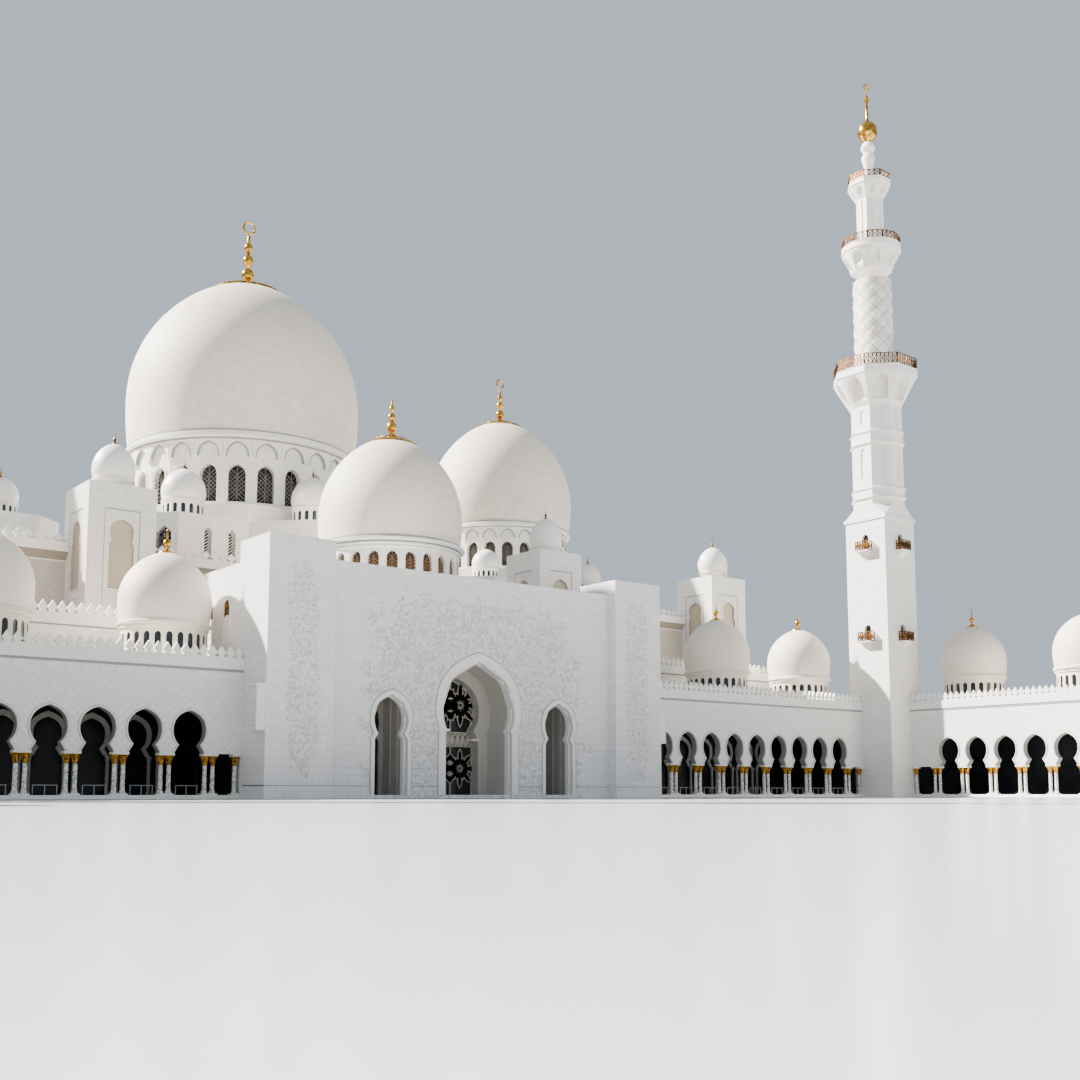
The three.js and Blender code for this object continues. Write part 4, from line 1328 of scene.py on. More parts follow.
@dataclass(frozen=True)
class Portal:
    """The portal block: three keyhole arches with flat rims, the deep porch, its screen and side passages."""

    half: float = 25.25
    pylon: float = 18.2
    face: float = 1.3
    floor: float = 0.35
    base_line: float = 1.2
    great: KeyholeArch = KeyholeArch(4.3, 6.6, 4.15, 7.1, 4.65, 9.2, 14.3)
    side: KeyholeArch = KeyholeArch(1.93, 5.9, 1.55, 6.45, 2.02, 8.0, 10.4)
    inner: KeyholeArch = KeyholeArch(2.9, 6.3, 2.3, 7.3, 3.0, 9.3, 12.9)
    side_x: float = 10.85
    porch_start: float = 2.403
    porch_face: float = 5.7
    porch_back: float = 6.9
    passage_half: float = 2.45
    passage_end: float = 6.9
    passage_top: float = 10.9

    def fronts(self) -> list[tuple[KeyholeArch, float, float]]:
        """Each arch of the front, its middle and the width of its rim."""
        return [(self.side, -self.side_x, 0.42), (self.great, 0, 0.88), (self.side, self.side_x, 0.42)]

    def rims(self) -> Parts:
        """Lays a broad flat rim round each front arch, steps its reveal and sets the great arch's imposts."""
        parts = []
        for arch, x, rim in self.fronts():
            parts.append(Bench.upright(arch.band(self.floor, 0.0, rim, x), self.face - 0.07, 0.1))
            parts.append(Bench.upright(arch.band(self.floor, -0.15, 0.1, x), self.face + 0.5, 0.6))
        for side in (-1, 1):
            near = side * (self.great.pinch - 0.22)
            parts.append(Bench.block((near, self.face - 0.32, 6.9), (side * 5.5, self.face + 1.1, 7.12),
                                     0.03))
            near, far = side * 2.2, side * 3.05
            parts.append(Bench.block((near, self.porch_face - 0.2, 6.2), (far, self.porch_back, 6.42), 0.03))
        return parts

    def lines(self) -> Parts:
        """Draws fine dark grey lines: painted shade in the sunk line round each rim, and a line along the top
        of the base course.
        """
        parts = []
        ends = [-self.pylon]
        for arch, x, rim in self.fronts():
            # Dark grey band painted as the shade in the sunk line round the rim.
            parts.append(Bench.upright(arch.band(self.floor, rim, rim + 0.09, x), self.face - 0.03, 0.06))
            ends += [x - arch.foot - rim, x + arch.foot + rim]
        ends.append(self.pylon)
        walls = [WallLine((a, self.face), (b, self.face)) for a, b in zip(ends[::2], ends[1::2])]
        for side in (-1, 1):
            near, far = sorted((side * self.pylon, side * self.half))
            walls += [WallLine((near, 0), (far, 0)), WallLine((self.half, 0), (self.half, 4.4))]
            walls.append(WallLine((-self.half, 4.4), (-self.half, 0)))
        return parts + [wall.moulding(LINE, self.base_line) for wall in walls]

    def porch(self) -> Parts:
        """Builds the barrel of the porch and the wall with the inner arch at its end."""
        low = self.floor
        barrel = Bench.upright(self.great.band(low, 0.0, 0.8), self.porch_start,
                               self.porch_back - self.porch_start)
        wall = self.great.outline(low, 0.1) + self.inner.outline(low)[::-1]
        face = Bench.upright(wall, self.porch_face, self.porch_back - self.porch_face)
        rim = Bench.upright(self.inner.band(low, 0.0, 0.28), self.porch_face - 0.16, 0.2)
        return [barrel, face, rim]

    def passage(self) -> tuple[Parts, Parts]:
        """Builds the passage behind the right-hand side arch, with the dark arch at its end."""
        x, low, top, end, reach = (self.side_x, self.floor, self.passage_top, self.passage_end,
                                   self.passage_half)
        parts = [Bench.block((x - reach, self.porch_start, top), (x + reach, end + 0.3, top + 0.2), 0.02)]
        for side in (-1, 1):
            for near, start, stop in ((0.0, self.porch_start, end + 0.3), (-0.14, 3.9, 4.3),
                                      (-0.12, 5.3, 5.55)):
                inner, outer = x + side * (reach + near), x + side * (reach + 0.2)
                parts.append(Bench.block((inner, start, low), (outer, stop, top), 0.02))
        wall = closed_arches(x - reach, x + reach, low, top, [(x, self.side)])
        parts.append(Bench.upright(wall, end, 0.3))
        parts.append(Bench.upright(self.side.band(low, 0.0, 0.28, x), end - 0.07, 0.1))
        pane = Bench.upright(self.side.outline(low, 0.1, x), end + 0.22, 0.06)
        return parts, [pane]

    def side_walls(self) -> tuple[Parts, Parts]:
        """Builds the louvred box at the right-hand corner and the niches high on the side wall."""
        wall, box = self.half, self.half + 0.95
        parts = [Bench.block((wall - 0.1, 0.1, 6.3), (box - 0.1, 1.7, 10.4), 0.03),
                 Bench.block((wall - 0.1, -0.05, 10.38), (box + 0.1, 1.85, 10.62), 0.03)]
        slat = Bench.block((box - 0.14, 0.1, 6.4), (box, 1.7, 6.54), 0.02)
        parts.append(Bench.row(slat, 15, (0, 0, 0.27)))
        grilles = []
        niche = RoundArch(0.62, 17.93, 19.5)
        for y in (8.8, 12.6, 16.4):
            place = [placed(wall, y, QUARTER)]
            frame = [Bench.upright(niche.band(0.0, 0.16, 15.2), -0.1, 0.14),
                     Bench.block((-0.62, -0.04, 15.2), (0.62, 0.05, 17.93), 0)]
            parts.append(Bench.scatter(Bench.join(frame), place))
            bars = [*niche.lattice(-0.09, 0.36, 0.07, 0.05), Bench.upright(niche.outline(0.01), -0.03, 0.05)]
            grilles.append(Bench.scatter(Bench.join(bars), place))
        return parts, grilles

    def screen(self) -> Parts:
        """Builds the pale lattice in front of the glazing: flowers above and below a band of leaves."""
        y, depth = self.porch_back - 0.22, 0.14
        parts = [Bench.upright(self.inner.band(self.floor, -0.14, 0.02), y, depth)]
        for z in (5.6, 7.08):
            parts.append(Bench.block((-2.9, y, z - 0.07), (2.9, y + depth, z + 0.07), 0))
        parts.append(Bench.block((-0.06, y, self.floor), (0.06, y + depth, 12.6), 0))
        for z in (3.2, 10.1):
            flower = self.flower(2.2 if z < 5 else 2.5, depth)
            parts.append(Bench.scatter(flower, [Matrix.Translation((x, y, z)) for x in (-1.3, 1.3)]))
        leaf = [(0.0, 5.7), (0.26, 6.05), (0.3, 6.34), (0.2, 6.7), (0.0, 6.98), (-0.22, 6.62), (-0.3, 6.3),
                (-0.24, 5.98)]
        low = [(0.1, 5.7), (0.58, 5.7), (0.38, 6.1)]
        high = [(0.1, 6.98), (0.32, 6.64), (0.58, 6.98)]
        for outline in (leaf, low, high):
            plate = Bench.upright([(x - 2.3, z) for x, z in outline], y + 0.02, depth - 0.04)
            parts.append(Bench.row(plate, 8, (0.66, 0, 0)))
        return parts

    @staticmethod
    def flower(radius: float, depth: float) -> Part:
        """Builds a traditional eight-petalled flower in outline, with short petals between the long ones."""
        petals = []
        for length, wide, turn in ((1.0, 1.0, 0.0), (0.62, 0.6, HALF_SIDE)):
            side = [(0.0, 0.07), (0.13, 0.42), (0.16, 0.62), (0.1, 0.84)]
            outer = [*side, (0.0, 1.0), *[(-x, z) for x, z in side[:0:-1]]]
            inner = [(x * 0.7, 0.2 + (z - 0.07) * 0.78) for x, z in outer]
            ring = outer + outer[:1] + inner[:1] + inner[:0:-1]
            petal = Bench.upright([(x * wide * radius, z * length * radius) for x, z in ring], 0, depth)
            places = [Matrix.Rotation(turn + i * FULL_TURN / 8, 4, "Y") for i in range(8)]
            petals.append(Bench.scatter(petal, places))
        return Bench.join(petals)

    def build(self) -> None:
        """Builds and hands over the portal's pieces."""
        Bench.finish("portal_arch_rims", self.rims(), PLAIN)
        # Dark grey lines: painted shade round the front arches' rims, and the base course line.
        Bench.finish("portal_rim_shadow_and_base_lines", self.lines(), DARK_GREY_AND_PAINTED_SHADOW)
        # Grey beige painted as the shade inside the porch.
        Bench.finish("portal_porch_vault", self.porch(), PAINTED_SHADE_RECESS, ["portal_porch"])
        # Grey beige painted as the shade on the screen.
        Bench.finish("portal_screen_lattice", self.screen(), SCREEN_LATTICE)
        passage, panes = self.passage()
        walls, grilles = self.side_walls()
        # Grey beige painted as the shade in the side passages.
        Bench.finish_pair("portal_passage", passage, PAINTED_SHADE_RECESS)
        Bench.finish_pair("portal_passage_pane", panes, GLASS)
        Bench.finish_pair("portal_side_niches", walls, PLAIN)
        Bench.finish_pair("portal_side_grilles", grilles, BRONZE)


@dataclass(frozen=True)
class Arcade:
    """A colonnade of keyhole arches, set out with its middle at zero and its front on Y = 0."""

    place: Matrix
    half: float
    depth: float
    bays: int
    pairs: int
    domes: tuple[float, ...]
    dome_y: float
    plinth_back: float
    outer_wall: bool = False
    blind: int = 0
    pitch: float = 4.25
    wall: float = 0.9
    soffit: float = 4.2
    wall_top: float = 11.3
    top: float = 13.2
    arch: KeyholeArch = KeyholeArch(1.5, 4.2, 1.05, 4.95, 1.62, 6.35, 8.2)

    def spots(self, count: int) -> list[float]:
        """Places along the arcade, centred on zero."""
        return [(i - (count - 1) / 2) * self.pitch for i in range(count)]

    def arch_spots(self) -> list[float]:
        """The middles of the bays that have an arch."""
        return self.spots(self.bays)[self.blind:]

    def banded(self, inner: float, outer: float, y: float, depth: float) -> Part:
        """Repeats a band round every arch.

        Args:
            inner: How far outside the opening the band starts.
            outer: How far outside the opening it ends.
            y: The place of its front.
            depth: Its depth.

        Returns:
            The row of bands.
        """
        spots = self.arch_spots()
        band = Bench.upright(self.arch.band(self.soffit, inner, outer, spots[0]), y, depth)
        return Bench.row(band, len(spots), (self.pitch, 0, 0))

    def walls(self) -> Parts:
        """Builds the arched front wall, with a light rim round each arch."""
        arches = [(x, self.arch) for x in self.arch_spots()]
        outline = closed_arches(-self.half, self.half, self.soffit, self.wall_top, arches)
        parts = [Bench.upright(outline, 0, self.wall)]
        faces = [-0.09]
        if self.outer_wall:
            parts.append(Bench.upright(outline, self.depth - self.wall, self.wall))
            faces.append(self.depth - 0.05)
        return parts + [self.banded(0.0, 0.12, y, 0.14) for y in faces]

    def edges(self) -> Parts:
        """Runs a plain band and the crest along every edge that stands free."""
        return [part for line in self.free_edges()
                for part in (line.moulding(BAND, self.top - 1.0), line.crest(self.top, 1.2, MERLON, 0.88))]

    def free_edges(self) -> list[WallLine]:
        """The front, and round the open end of a court arcade."""
        lines = [WallLine((-self.half, 0), (self.half, 0))]
        if self.outer_wall:
            lines.append(WallLine((self.half, 0), (self.half, self.depth)))
            lines.append(WallLine((self.half, self.depth), (-self.half, self.depth)))
        return lines

    def joints(self) -> Parts:
        """Runs a dark grey line under the band, painted as the band's shadow, and a fine one round each
        arch's rim, painted as the shade in its sunk line.
        """
        parts = [line.moulding(LINE, self.top - 1.24, 3.0) for line in self.free_edges()]
        parts.append(self.banded(0.12, 0.17, -0.03, 0.06))
        return parts if self.outer_wall else parts + self.rails()

    def linings(self) -> Parts:
        """Lines the reveal of each front arch with mid grey, painted as the shade inside the reveal."""
        return [self.banded(-0.05, 0.01, 0.1, self.wall - 0.12)]

    def rails(self) -> Parts:
        """Sets the low rail between the columns."""
        gap = self.pitch - 2.1
        spots = [x for x in self.spots(self.bays) if abs(x) + gap / 2 < self.half]
        first = spots[0]
        rail = [Bench.block((first - gap / 2, 0.4, 1.2), (first + gap / 2, 0.5, 1.26), 0)]
        post = Bench.block((first - gap / 2 + 0.02, 0.42, 0.36), (first - gap / 2 + 0.08, 0.48, 1.2), 0)
        rail.append(Bench.row(post, 3, ((gap - 0.1) / 2, 0, 0)))
        return [Bench.row(Bench.join(rail), len(spots), (self.pitch, 0, 0))]

    def bases(self) -> Parts:
        """Lays the plinth, and the piers of a court arcade's outer side."""
        parts = [Bench.block((-self.half, -0.4, 0), (self.half, self.plinth_back, 0.35), 0.03)]
        if self.outer_wall:
            pier = Bench.block((-0.6, -0.4, 0.35), (0.6, 0.4, self.soffit), 0.06)
            y = self.depth - self.wall / 2
            parts.append(Bench.scatter(pier, [placed(x, y) for x in self.spots(self.pairs)]))
        return parts

    def axes(self) -> list[tuple[float, float]]:
        """The place of each capital and how far apart its columns stand."""
        end = self.half - 0.42
        return [(-end, 0.0), *((x, 0.78) for x in self.spots(self.pairs)), (end, 0.0)]

    def column_places(self) -> list[Matrix]:
        """Where each column stands: a pair at most capitals, and one at each end."""
        return [placed(x + side * apart / 2, self.wall / 2)
                for x, apart in self.axes() for side in ((-1, 1) if apart else (0,))]

    def columns(self) -> Parts:
        """Turns one shaft and copies it under every capital."""
        profile = [(0, 0.35), (0.34, 0.35), (0.34, 0.52), (0.29, 0.57), (0.3, 0.64), (0.24, 0.74),
                   (0.21, 0.9), (0.2, 2.4), (0.195, 3.2), (0, 3.2)]
        return [Bench.scatter(Bench.turned(profile, 14), self.column_places())]

    def capitals(self) -> Parts:
        """Turns one gilded palm capital, with its leaves, and copies it."""
        core = [(0, 3.1), (0.24, 3.1), (0.26, 3.17), (0.2, 3.25), (0.22, 3.5), (0.3, 3.8), (0.37, 3.98),
                (0, 3.98)]
        leaf = Bench.plate([(-0.07, -0.22, 3.26), (0.07, -0.22, 3.26), (0.12, -0.3, 3.66), (0.06, -0.4, 3.96),
                            (0, -0.46, 3.84), (-0.06, -0.4, 3.96), (-0.12, -0.3, 3.66)], (0, 0.05, 0))
        capital = Bench.join([Bench.turned(core, 12), Bench.around(leaf, 7)])
        return [Bench.scatter(capital, self.column_places())]

    def abaci(self) -> Parts:
        """Lays a marble slab over each capital and a block under each pair of columns."""
        parts = []
        for x, apart in self.axes():
            reach = apart / 2 + 0.38
            for low, high in ((3.97, self.soffit), (0.34, 0.5)):
                parts.append(Bench.block((x - reach, 0, low), (x + reach, self.wall, high), 0.03))
        return parts

    def small_domes(self) -> tuple[Parts, Parts, Parts]:
        """Builds the small domes over the arcade: their stone, their dark panes and their gold."""
        y, rim, apothem, count = self.dome_y, 16.6, 4.06, 24
        half = apothem * math.tan(math.pi / count)
        window = RoundArch(0.3, 14.0, 15.8)
        outline = [(-half, 13.9), (-half, rim - 0.1), (half, rim - 0.1), (half, 13.9), (0.3, 13.9)]
        outline += window.outline()[::-1] + [(-0.3, 13.9)]
        stone = [Bench.around(Bench.upright(outline, -apothem, 0.1), count)]
        stone.append(Bench.ring([(3.9, 12.0), (4.16, 12.0), (4.16, 13.9), (3.9, 13.9)], 48))
        shape = Dome(x=0, y=0, radius=4.45, foot=4.26, drum=3.95, shell=0.4, base=12, rim=16.72,
                     rim_radius=4.6, widest=19.0, apex=24.03, seat=0.9, sill=0, arch=0, window_half=0)
        outer = shape.curve(0, 5, 12)
        stone.append(Bench.turned([(0, outer[-1][1]), *outer[::-1], (3.9, 16.6), (0, 16.6)], 40))
        stone.append(Bench.ring([(3.9, 16.2), (4.24, 16.2), (4.28, 16.36), (4.24, 16.5), (4.48, 16.66),
                                 (4.48, 16.82), (4.3, 16.94), (3.9, 16.98)], 48))
        panes = [Bench.ring([(3.9, 13.8), (4.0, 13.8), (4.0, 16.4), (3.9, 16.4)], 48)]
        seat = shape.seat_level()
        gold = Finial(0.95, seat, 0.09, ((seat + 1.1, 0.36),), seat + 2.8).build(0, 0, 14)
        places = [placed(x, y) for x in self.domes]
        return tuple([Bench.scatter(Bench.join(parts), places)] for parts in (stone, panes, gold))

    def backs(self) -> Parts:
        """Closes the walk with dark sheets painted as shade past its last bays, and along a court arcade's
        outer side with dark glazing, dulled and darkened as painted shade.
        """
        low, high, back = 0.36, self.wall_top - 0.1, self.depth - self.wall - 0.3
        parts = []
        for side in (-1,) if self.outer_wall else (-1, 1):
            near, far = side * (self.half - 0.5), side * (self.half - 0.42)
            deep = back if self.outer_wall else self.depth - 0.1
            parts.append(Bench.block((near, self.wall + 0.1, low), (far, deep, high), 0))
        if self.outer_wall:
            parts.append(Bench.block((0.5 - self.half, back, low), (self.half - 0.5, back + 0.08, high), 0))
        return parts

    def build(self, name: str, finials: str) -> None:
        """Builds and hands over both arcades of this kind.

        Args:
            name: The start of their nodes' names.
            finials: The start of their finials' names.
        """
        stone, panes, gold = self.small_domes()
        walls = [f"{name}_wall_{{}}"] + ([f"{name}_outer_wall_{{}}"] if self.outer_wall else [])
        posts = [f"{name}_columns_{{}}"]
        for kind, parts, finish, nodes in (
            ("arches", self.walls(), DIAMOND_WALL, walls),
            ("crest", self.edges(), PLAIN, []),
            # Dark grey lines painted as the shadow under the band and round the rims, with the low rails.
            ("joints", self.joints(), DARK_GREY_AND_PAINTED_SHADOW, []),
            # Mid grey painted as the shade in the arch reveals.
            ("arch_linings", self.linings(), PAINTED_SHADE_REVEAL, []),
            ("plinth", self.bases() + self.abaci(), PLAIN, posts),
            ("shafts", self.columns(), SHAFT, posts),
            ("capitals", self.capitals(), CAPITAL_GOLD, posts),
            ("domes", stone, WARM_WHITE, []),
            ("dome_panes", panes, GLASS, []),
            # Dark sheets and glazing painted as the shade inside the walk.
            ("back_panes", self.backs(), GLAZING_AND_PAINTED_SHADE, []),
            ("finials", gold, GOLD, [f"{finials}_{{}}_{i + 1}" for i in range(len(self.domes))]),
        ):
            Bench.finish_pair(f"{name}_{kind}", parts, finish, nodes, self.place)


@dataclass(frozen=True)
class Tower:
    """One of the square towers along the hall's front: plain sunk panels with a niche, and a small dome."""

    half: float = 3.55
    front: float = 24.5
    back: float = 30.797
    top: float = 33.3
    centres: tuple[float, ...] = (30.3, 63.6)
    niche: KeyholeArch = KeyholeArch(1.35, 26.8, 1.07, 27.15, 1.31, 28.3, 29.5)
    sill: float = 22.0
    panel: tuple[float, float, float] = (1.95, 18.2, 30.6)
    dome: Lantern = Lantern(2.25, 2.05, 0.9, 5.1, 0, 2.0)

    def face(self) -> Parts:
        """Builds the raised skin of one face round its sunk panel, about the world's axis."""
        y, reach = -self.half - 0.13, self.half + 0.12
        half, low, high = self.panel
        skin = [(-reach, low), (-reach, self.top), (reach, self.top), (reach, low), (half, low), (half, high),
                (-half, high), (-half, low)]
        upper = closed_arches(-half - 0.05, half + 0.05, self.sill, high + 0.05, [(0, self.niche)])
        lower = [(-half - 0.05, low), (half + 0.05, low), (half + 0.05, self.sill), (-half - 0.05, self.sill)]
        parts = [Bench.upright(skin, y, 0.16)]
        return parts + [Bench.upright(part, y + 0.07, 0.1) for part in (upper, lower)]

    def trim(self) -> Parts:
        """Builds the rim of one niche and the ledge under it."""
        y = -self.half
        return [Bench.upright(self.niche.band(self.sill, 0.0, 0.12), y - 0.1, 0.12),
                Bench.block((-1.95, y - 0.22, self.sill - 1.0), (1.95, y + 0.1, self.sill - 0.82), 0.03)]

    def groove(self) -> Parts:
        """Paints the shadow along the top and both sides of one sunk panel as a dark grey line."""
        half, low, high = self.panel
        inner, below = half - 0.1, high - 0.13
        line = [(-half, low), (-half, high), (half, high), (half, low), (inner, low), (inner, below),
                (-inner, below), (-inner, low)]
        return [Bench.upright(line, -self.half - 0.07, 0.05)]

    def backs(self) -> Parts:
        """Lines the back of one niche with warm stone."""
        return [Bench.upright(self.niche.outline(self.sill, -0.01), -self.half + 0.29, 0.08)]

    def places(self) -> list[Matrix]:
        """Where each face of each right-hand tower goes."""
        middle = self.front + self.half
        return [placed(x, middle, turn * QUARTER) for x in self.centres for turn in (0, 1, -1)]

    def build(self) -> None:
        """Builds and hands over the towers' pieces."""
        middle = (self.front + self.back) / 2
        spots = [placed(x, middle) for x in self.centres]
        kinds = (("tower_faces", self.face(), self.places(), WALL),
                 ("tower_trim", self.trim(), self.places(), PLAIN),
                 # Dark grey lines painted as the shadow at the sunk panels' edges.
                 ("tower_grooves", self.groove(), self.places(), DARK_GREY_AND_PAINTED_SHADOW),
                 ("tower_niche_backs", self.backs(), self.places(), WARM_STONE),
                 ("tower_domes", self.dome.stone(self.top), spots, PLAIN),
                 ("tower_spikes", self.dome.spikes(self.top), spots, BRONZE))
        for name, parts, places, finish in kinds:
            Bench.finish_pair(name, [Bench.scatter(Bench.join(parts), places)], finish)


@dataclass(frozen=True)
class Tiers:
    """The tiers under the great domes: slim windows with rope lattices, plain copings and small domes."""

    dome_row: float = 60.0
    side_x: float = 46.5
    half: float = 20.4
    corner: float = 2.6
    top: float = 34.8
    reach: float = 26.9
    tip: float = 2.0
    step: float = 17.2
    step_top: float = 37.9
    side_half: float = 16.6
    side_corner: float = 3.2
    side_top: float = 32.8
    side_step: float = 12.2
    side_step_top: float = 35.6
    main_ring: float = 21.3
    side_ring: float = 14.8
    main_lantern: Lantern = Lantern(2.75, 2.5, 2.4, 6.8)
    side_lantern: Lantern = Lantern(2.1, 1.9, 2.1, 5.3)

    def main_outline(self) -> Outline:
        """The main tier from above: a square with cut corners and blunt pointed bays front and back."""
        short = self.half - self.corner
        wide = self.tip + self.reach - self.half
        front = [(-self.half, -short), (-short, -self.half), (-wide, -self.half), (-self.tip, -self.reach),
                 (self.tip, -self.reach), (wide, -self.half), (short, -self.half), (self.half, -short)]
        return front + [(-x, -y) for x, y in front]

    def side_outline(self) -> Outline:
        """A side tier from above."""
        half, short = self.side_half, self.side_half - self.side_corner
        return [(-half, -short), (-short, -half), (short, -half), (half, -short),
                (half, short), (short, half), (-short, half), (-half, short)]

    def copings(self, outline: Outline, x: float, top: float) -> Parts:
        """Runs a flat coping round an outline, just under its top."""
        spots = [(x + px, self.dome_row + py) for px, py in outline]
        return [WallLine(a, b).moulding(COPING, top - 0.16) for a, b in zip(spots, spots[1:] + spots[:1])]

    def places(self, ring: float, degrees: Iterable[float], x: float) -> list[Matrix]:
        """Where the small domes of one ring stand."""
        angles = [math.radians(angle) for angle in degrees]
        return [placed(x + ring * math.cos(a), self.dome_row + ring * math.sin(a)) for a in angles]

    def windows(self) -> tuple[Parts, ...]:
        """Builds the main tier's frames, its slim windows' rope lattices and its corners' crossed ones."""
        slim, wide = RoundArch(0.5, 28.4, 33.4), RoundArch(1.0, 28.4, 33.2)
        apothem = (2 * self.half - self.corner) / math.sqrt(2)
        rope = Bench.block((-0.62, -self.half + 0.2, -0.045), (0.62, -self.half + 0.3, 0.045), 0)
        slope = Matrix.Rotation(math.radians(-38), 4, "Y")
        rope.data.transform(slope)
        rope.data.transform(Matrix.Translation((0, 0, slim.sill + 0.3)))
        ropes = Bench.row(rope, 12, (0, 0, 0.4))
        corners = [placed(0, self.dome_row, math.radians(45 + 90 * i)) for i in range(4)]
        sides = [placed(x, self.dome_row, turn) for x in (-14.0, -10.8, 10.8, 14.0) for turn in (0, math.pi)]
        frames = [Bench.scatter(Bench.upright(slim.band(0, 0.22), -self.half - 0.1, 0.16), sides),
                  Bench.scatter(Bench.upright(wide.band(0, 0.3), -apothem - 0.12, 0.2), corners)]
        crossed = Bench.join(wide.lattice(-apothem + 0.25, 0.8, 0.07, 0.06))
        return frames, [Bench.scatter(ropes, sides)], [Bench.scatter(crossed, corners)]

    def build(self) -> None:
        """Builds and hands over the tiers' pieces."""
        frames, ropes, crossed = self.windows()
        lines = self.copings(self.main_outline(), 0, self.top)
        lines += self.copings(octagon(self.step), 0, self.step_top)
        for x in (-self.side_x, self.side_x):
            lines += self.copings(self.side_outline(), x, self.side_top)
            lines += self.copings(octagon(self.side_step), x, self.side_step_top)
        Bench.finish("tier_copings", lines + frames, PLAIN)
        Bench.finish("tier_rope_lattices", ropes, LATTICE)
        # Dark grey painted as the shade on the corner windows' lattices.
        Bench.finish("tier_corner_lattices", crossed, PAINTED_SHADE_LATTICE)
        main = self.places(self.main_ring, (-135, -90, -45, 45, 90, 135), 0)
        sides = [place for x in (-self.side_x, self.side_x)
                 for place in self.places(self.side_ring, (-135, -45, 45, 135), x)]
        for name, lantern, level, spots in (("main", self.main_lantern, self.top, main),
                                            ("side", self.side_lantern, self.side_top, sides)):
            kinds = (("domes", lantern.stone(level), PLAIN),
                     ("panes", lantern.panes(level), GLASS),
                     ("spikes", lantern.spikes(level), BRONZE))
            for kind, parts, finish in kinds:
                Bench.finish(f"{name}_tier_{kind}", [Bench.scatter(Bench.join(parts), spots)], finish)


@dataclass(frozen=True)
class HallWalls:
    """The crests, cornices and windows of the prayer hall and of the galleries behind the arcades."""

    half: float = 67.15
    front: float = 30.8
    back: float = 89.2
    top: float = 27.4
    gallery_front: float = 19.0
    gallery_inner: float = 25.25
    gallery_outer: float = 69.3
    gallery_top: float = 18.1
    rear_windows: tuple[float, ...] = (-48, -24, 0, 24, 48)
    side_windows: tuple[float, ...] = (45, 60, 75)
    window: RoundArch = RoundArch(1.3, 6.0, 16.0)

    def hall_edges(self) -> tuple[Parts, Parts]:
        """Crests the hall's roof all round, over deep eaves with a sloping underside."""
        lines = around_block(-self.half, self.half, self.front, self.back)
        crest = [line.moulding(EAVES, self.top - 1.0) for line in lines]
        crest += [line.crest(self.top, 1.15, SPADE) for line in lines]
        return crest, [line.moulding(SOFFIT, self.top - 1.85) for line in lines]

    def gallery_edges(self) -> tuple[Parts, Parts]:
        """Crests the right-hand gallery's front and outer end, over a plain band and a dark grey line painted
        as the band's shadow.
        """
        corner = (self.gallery_outer, self.gallery_front)
        lines = [WallLine((self.gallery_inner, self.gallery_front), corner),
                 WallLine(corner, (self.gallery_outer, 24.5))]
        crest = [line.moulding(BAND, self.gallery_top - 1.0) for line in lines]
        crest += [line.crest(self.gallery_top, 1.3, MERLON, 0.94) for line in lines]
        # The dark grey line under the band is painted as its shadow.
        return crest, [line.moulding(LINE, self.gallery_top - 1.16, 2.0) for line in lines]

    def doorways(self) -> tuple[Parts, Parts]:
        """Builds the second row of arches behind the arcade in grey painted as shade, and the dark glazing
        that closes it, darkened further as painted shade.
        """
        arch = KeyholeArch(1.5, 4.2, 1.05, 4.95, 1.62, 6.35, 8.2)
        first, y = 47.41 - 4 * 4.25, self.gallery_front
        frame = [Bench.upright(arch.band(4.2, -0.25, 0.25, first), y - 0.3, 0.12)]
        for x in (first - 2.6, first - 1.65):
            post = [(0, 0.35), (0.24, 0.35), (0.2, 0.8), (0.18, 3.6), (0.3, 4.2), (0, 4.2)]
            frame.append(Bench.turned(post, 10, x, y - 0.3))
        pane = Bench.block((self.gallery_inner + 0.1, y - 0.06, 0.36),
                           (self.gallery_outer - 0.1, y + 0.02, 11.2), 0)
        return [Bench.row(Bench.join(frame), 9, (4.25, 0, 0))], [pane]

    def place_windows(self, made: Part) -> Part:
        """Copies one window's part to the rear and side walls."""
        places = [placed(x, self.back, math.pi) for x in self.rear_windows]
        places += [placed(side * self.half, y, side * QUARTER) for y in self.side_windows for side in (1, -1)]
        return Bench.scatter(made, places)

    def build(self) -> None:
        """Builds and hands over the walls' pieces."""
        window = self.window
        frame = Bench.upright(window.band(0, 0.35, window.sill - 0.35), -0.15, 0.25)
        sill = Bench.block((-1.8, -0.3, window.sill - 0.5), (1.8, 0.1, window.sill), 0.05)
        frames = self.place_windows(Bench.join([frame, sill]))
        lattice = self.place_windows(Bench.join(window.lattice(0.3, 0.9, 0.12, 0.1)))
        pane = self.place_windows(Bench.upright(window.outline(0.01), 0.5, 0.12))
        crest, soffit = self.hall_edges()
        Bench.finish("hall_crest", [*crest, frames], PLAIN)
        # Brown grey painted as the shadow under the eaves.
        Bench.finish("hall_eaves_soffit", soffit, SOFFIT_PAINTED_SHADE)
        Bench.finish("hall_window_lattices", [lattice], LATTICE)
        Bench.finish("hall_window_panes", [pane], GLASS)
        arches, panes = self.doorways()
        crest, joints = self.gallery_edges()
        Bench.finish_pair("gallery_crest", crest, PLAIN)
        # Dark grey lines painted as the band's shadow.
        Bench.finish_pair("gallery_band_shadow_lines", joints, DARK_GREY_AND_PAINTED_SHADOW)
        # Grey painted as the shade on the second row of arches.
        Bench.finish_pair("gallery_arches", arches, PAINTED_SHADE_RECESS)
        # Dark glazing, dulled and darkened as painted shade.
        Bench.finish_pair("gallery_panes", panes, GLAZING_AND_PAINTED_SHADE)


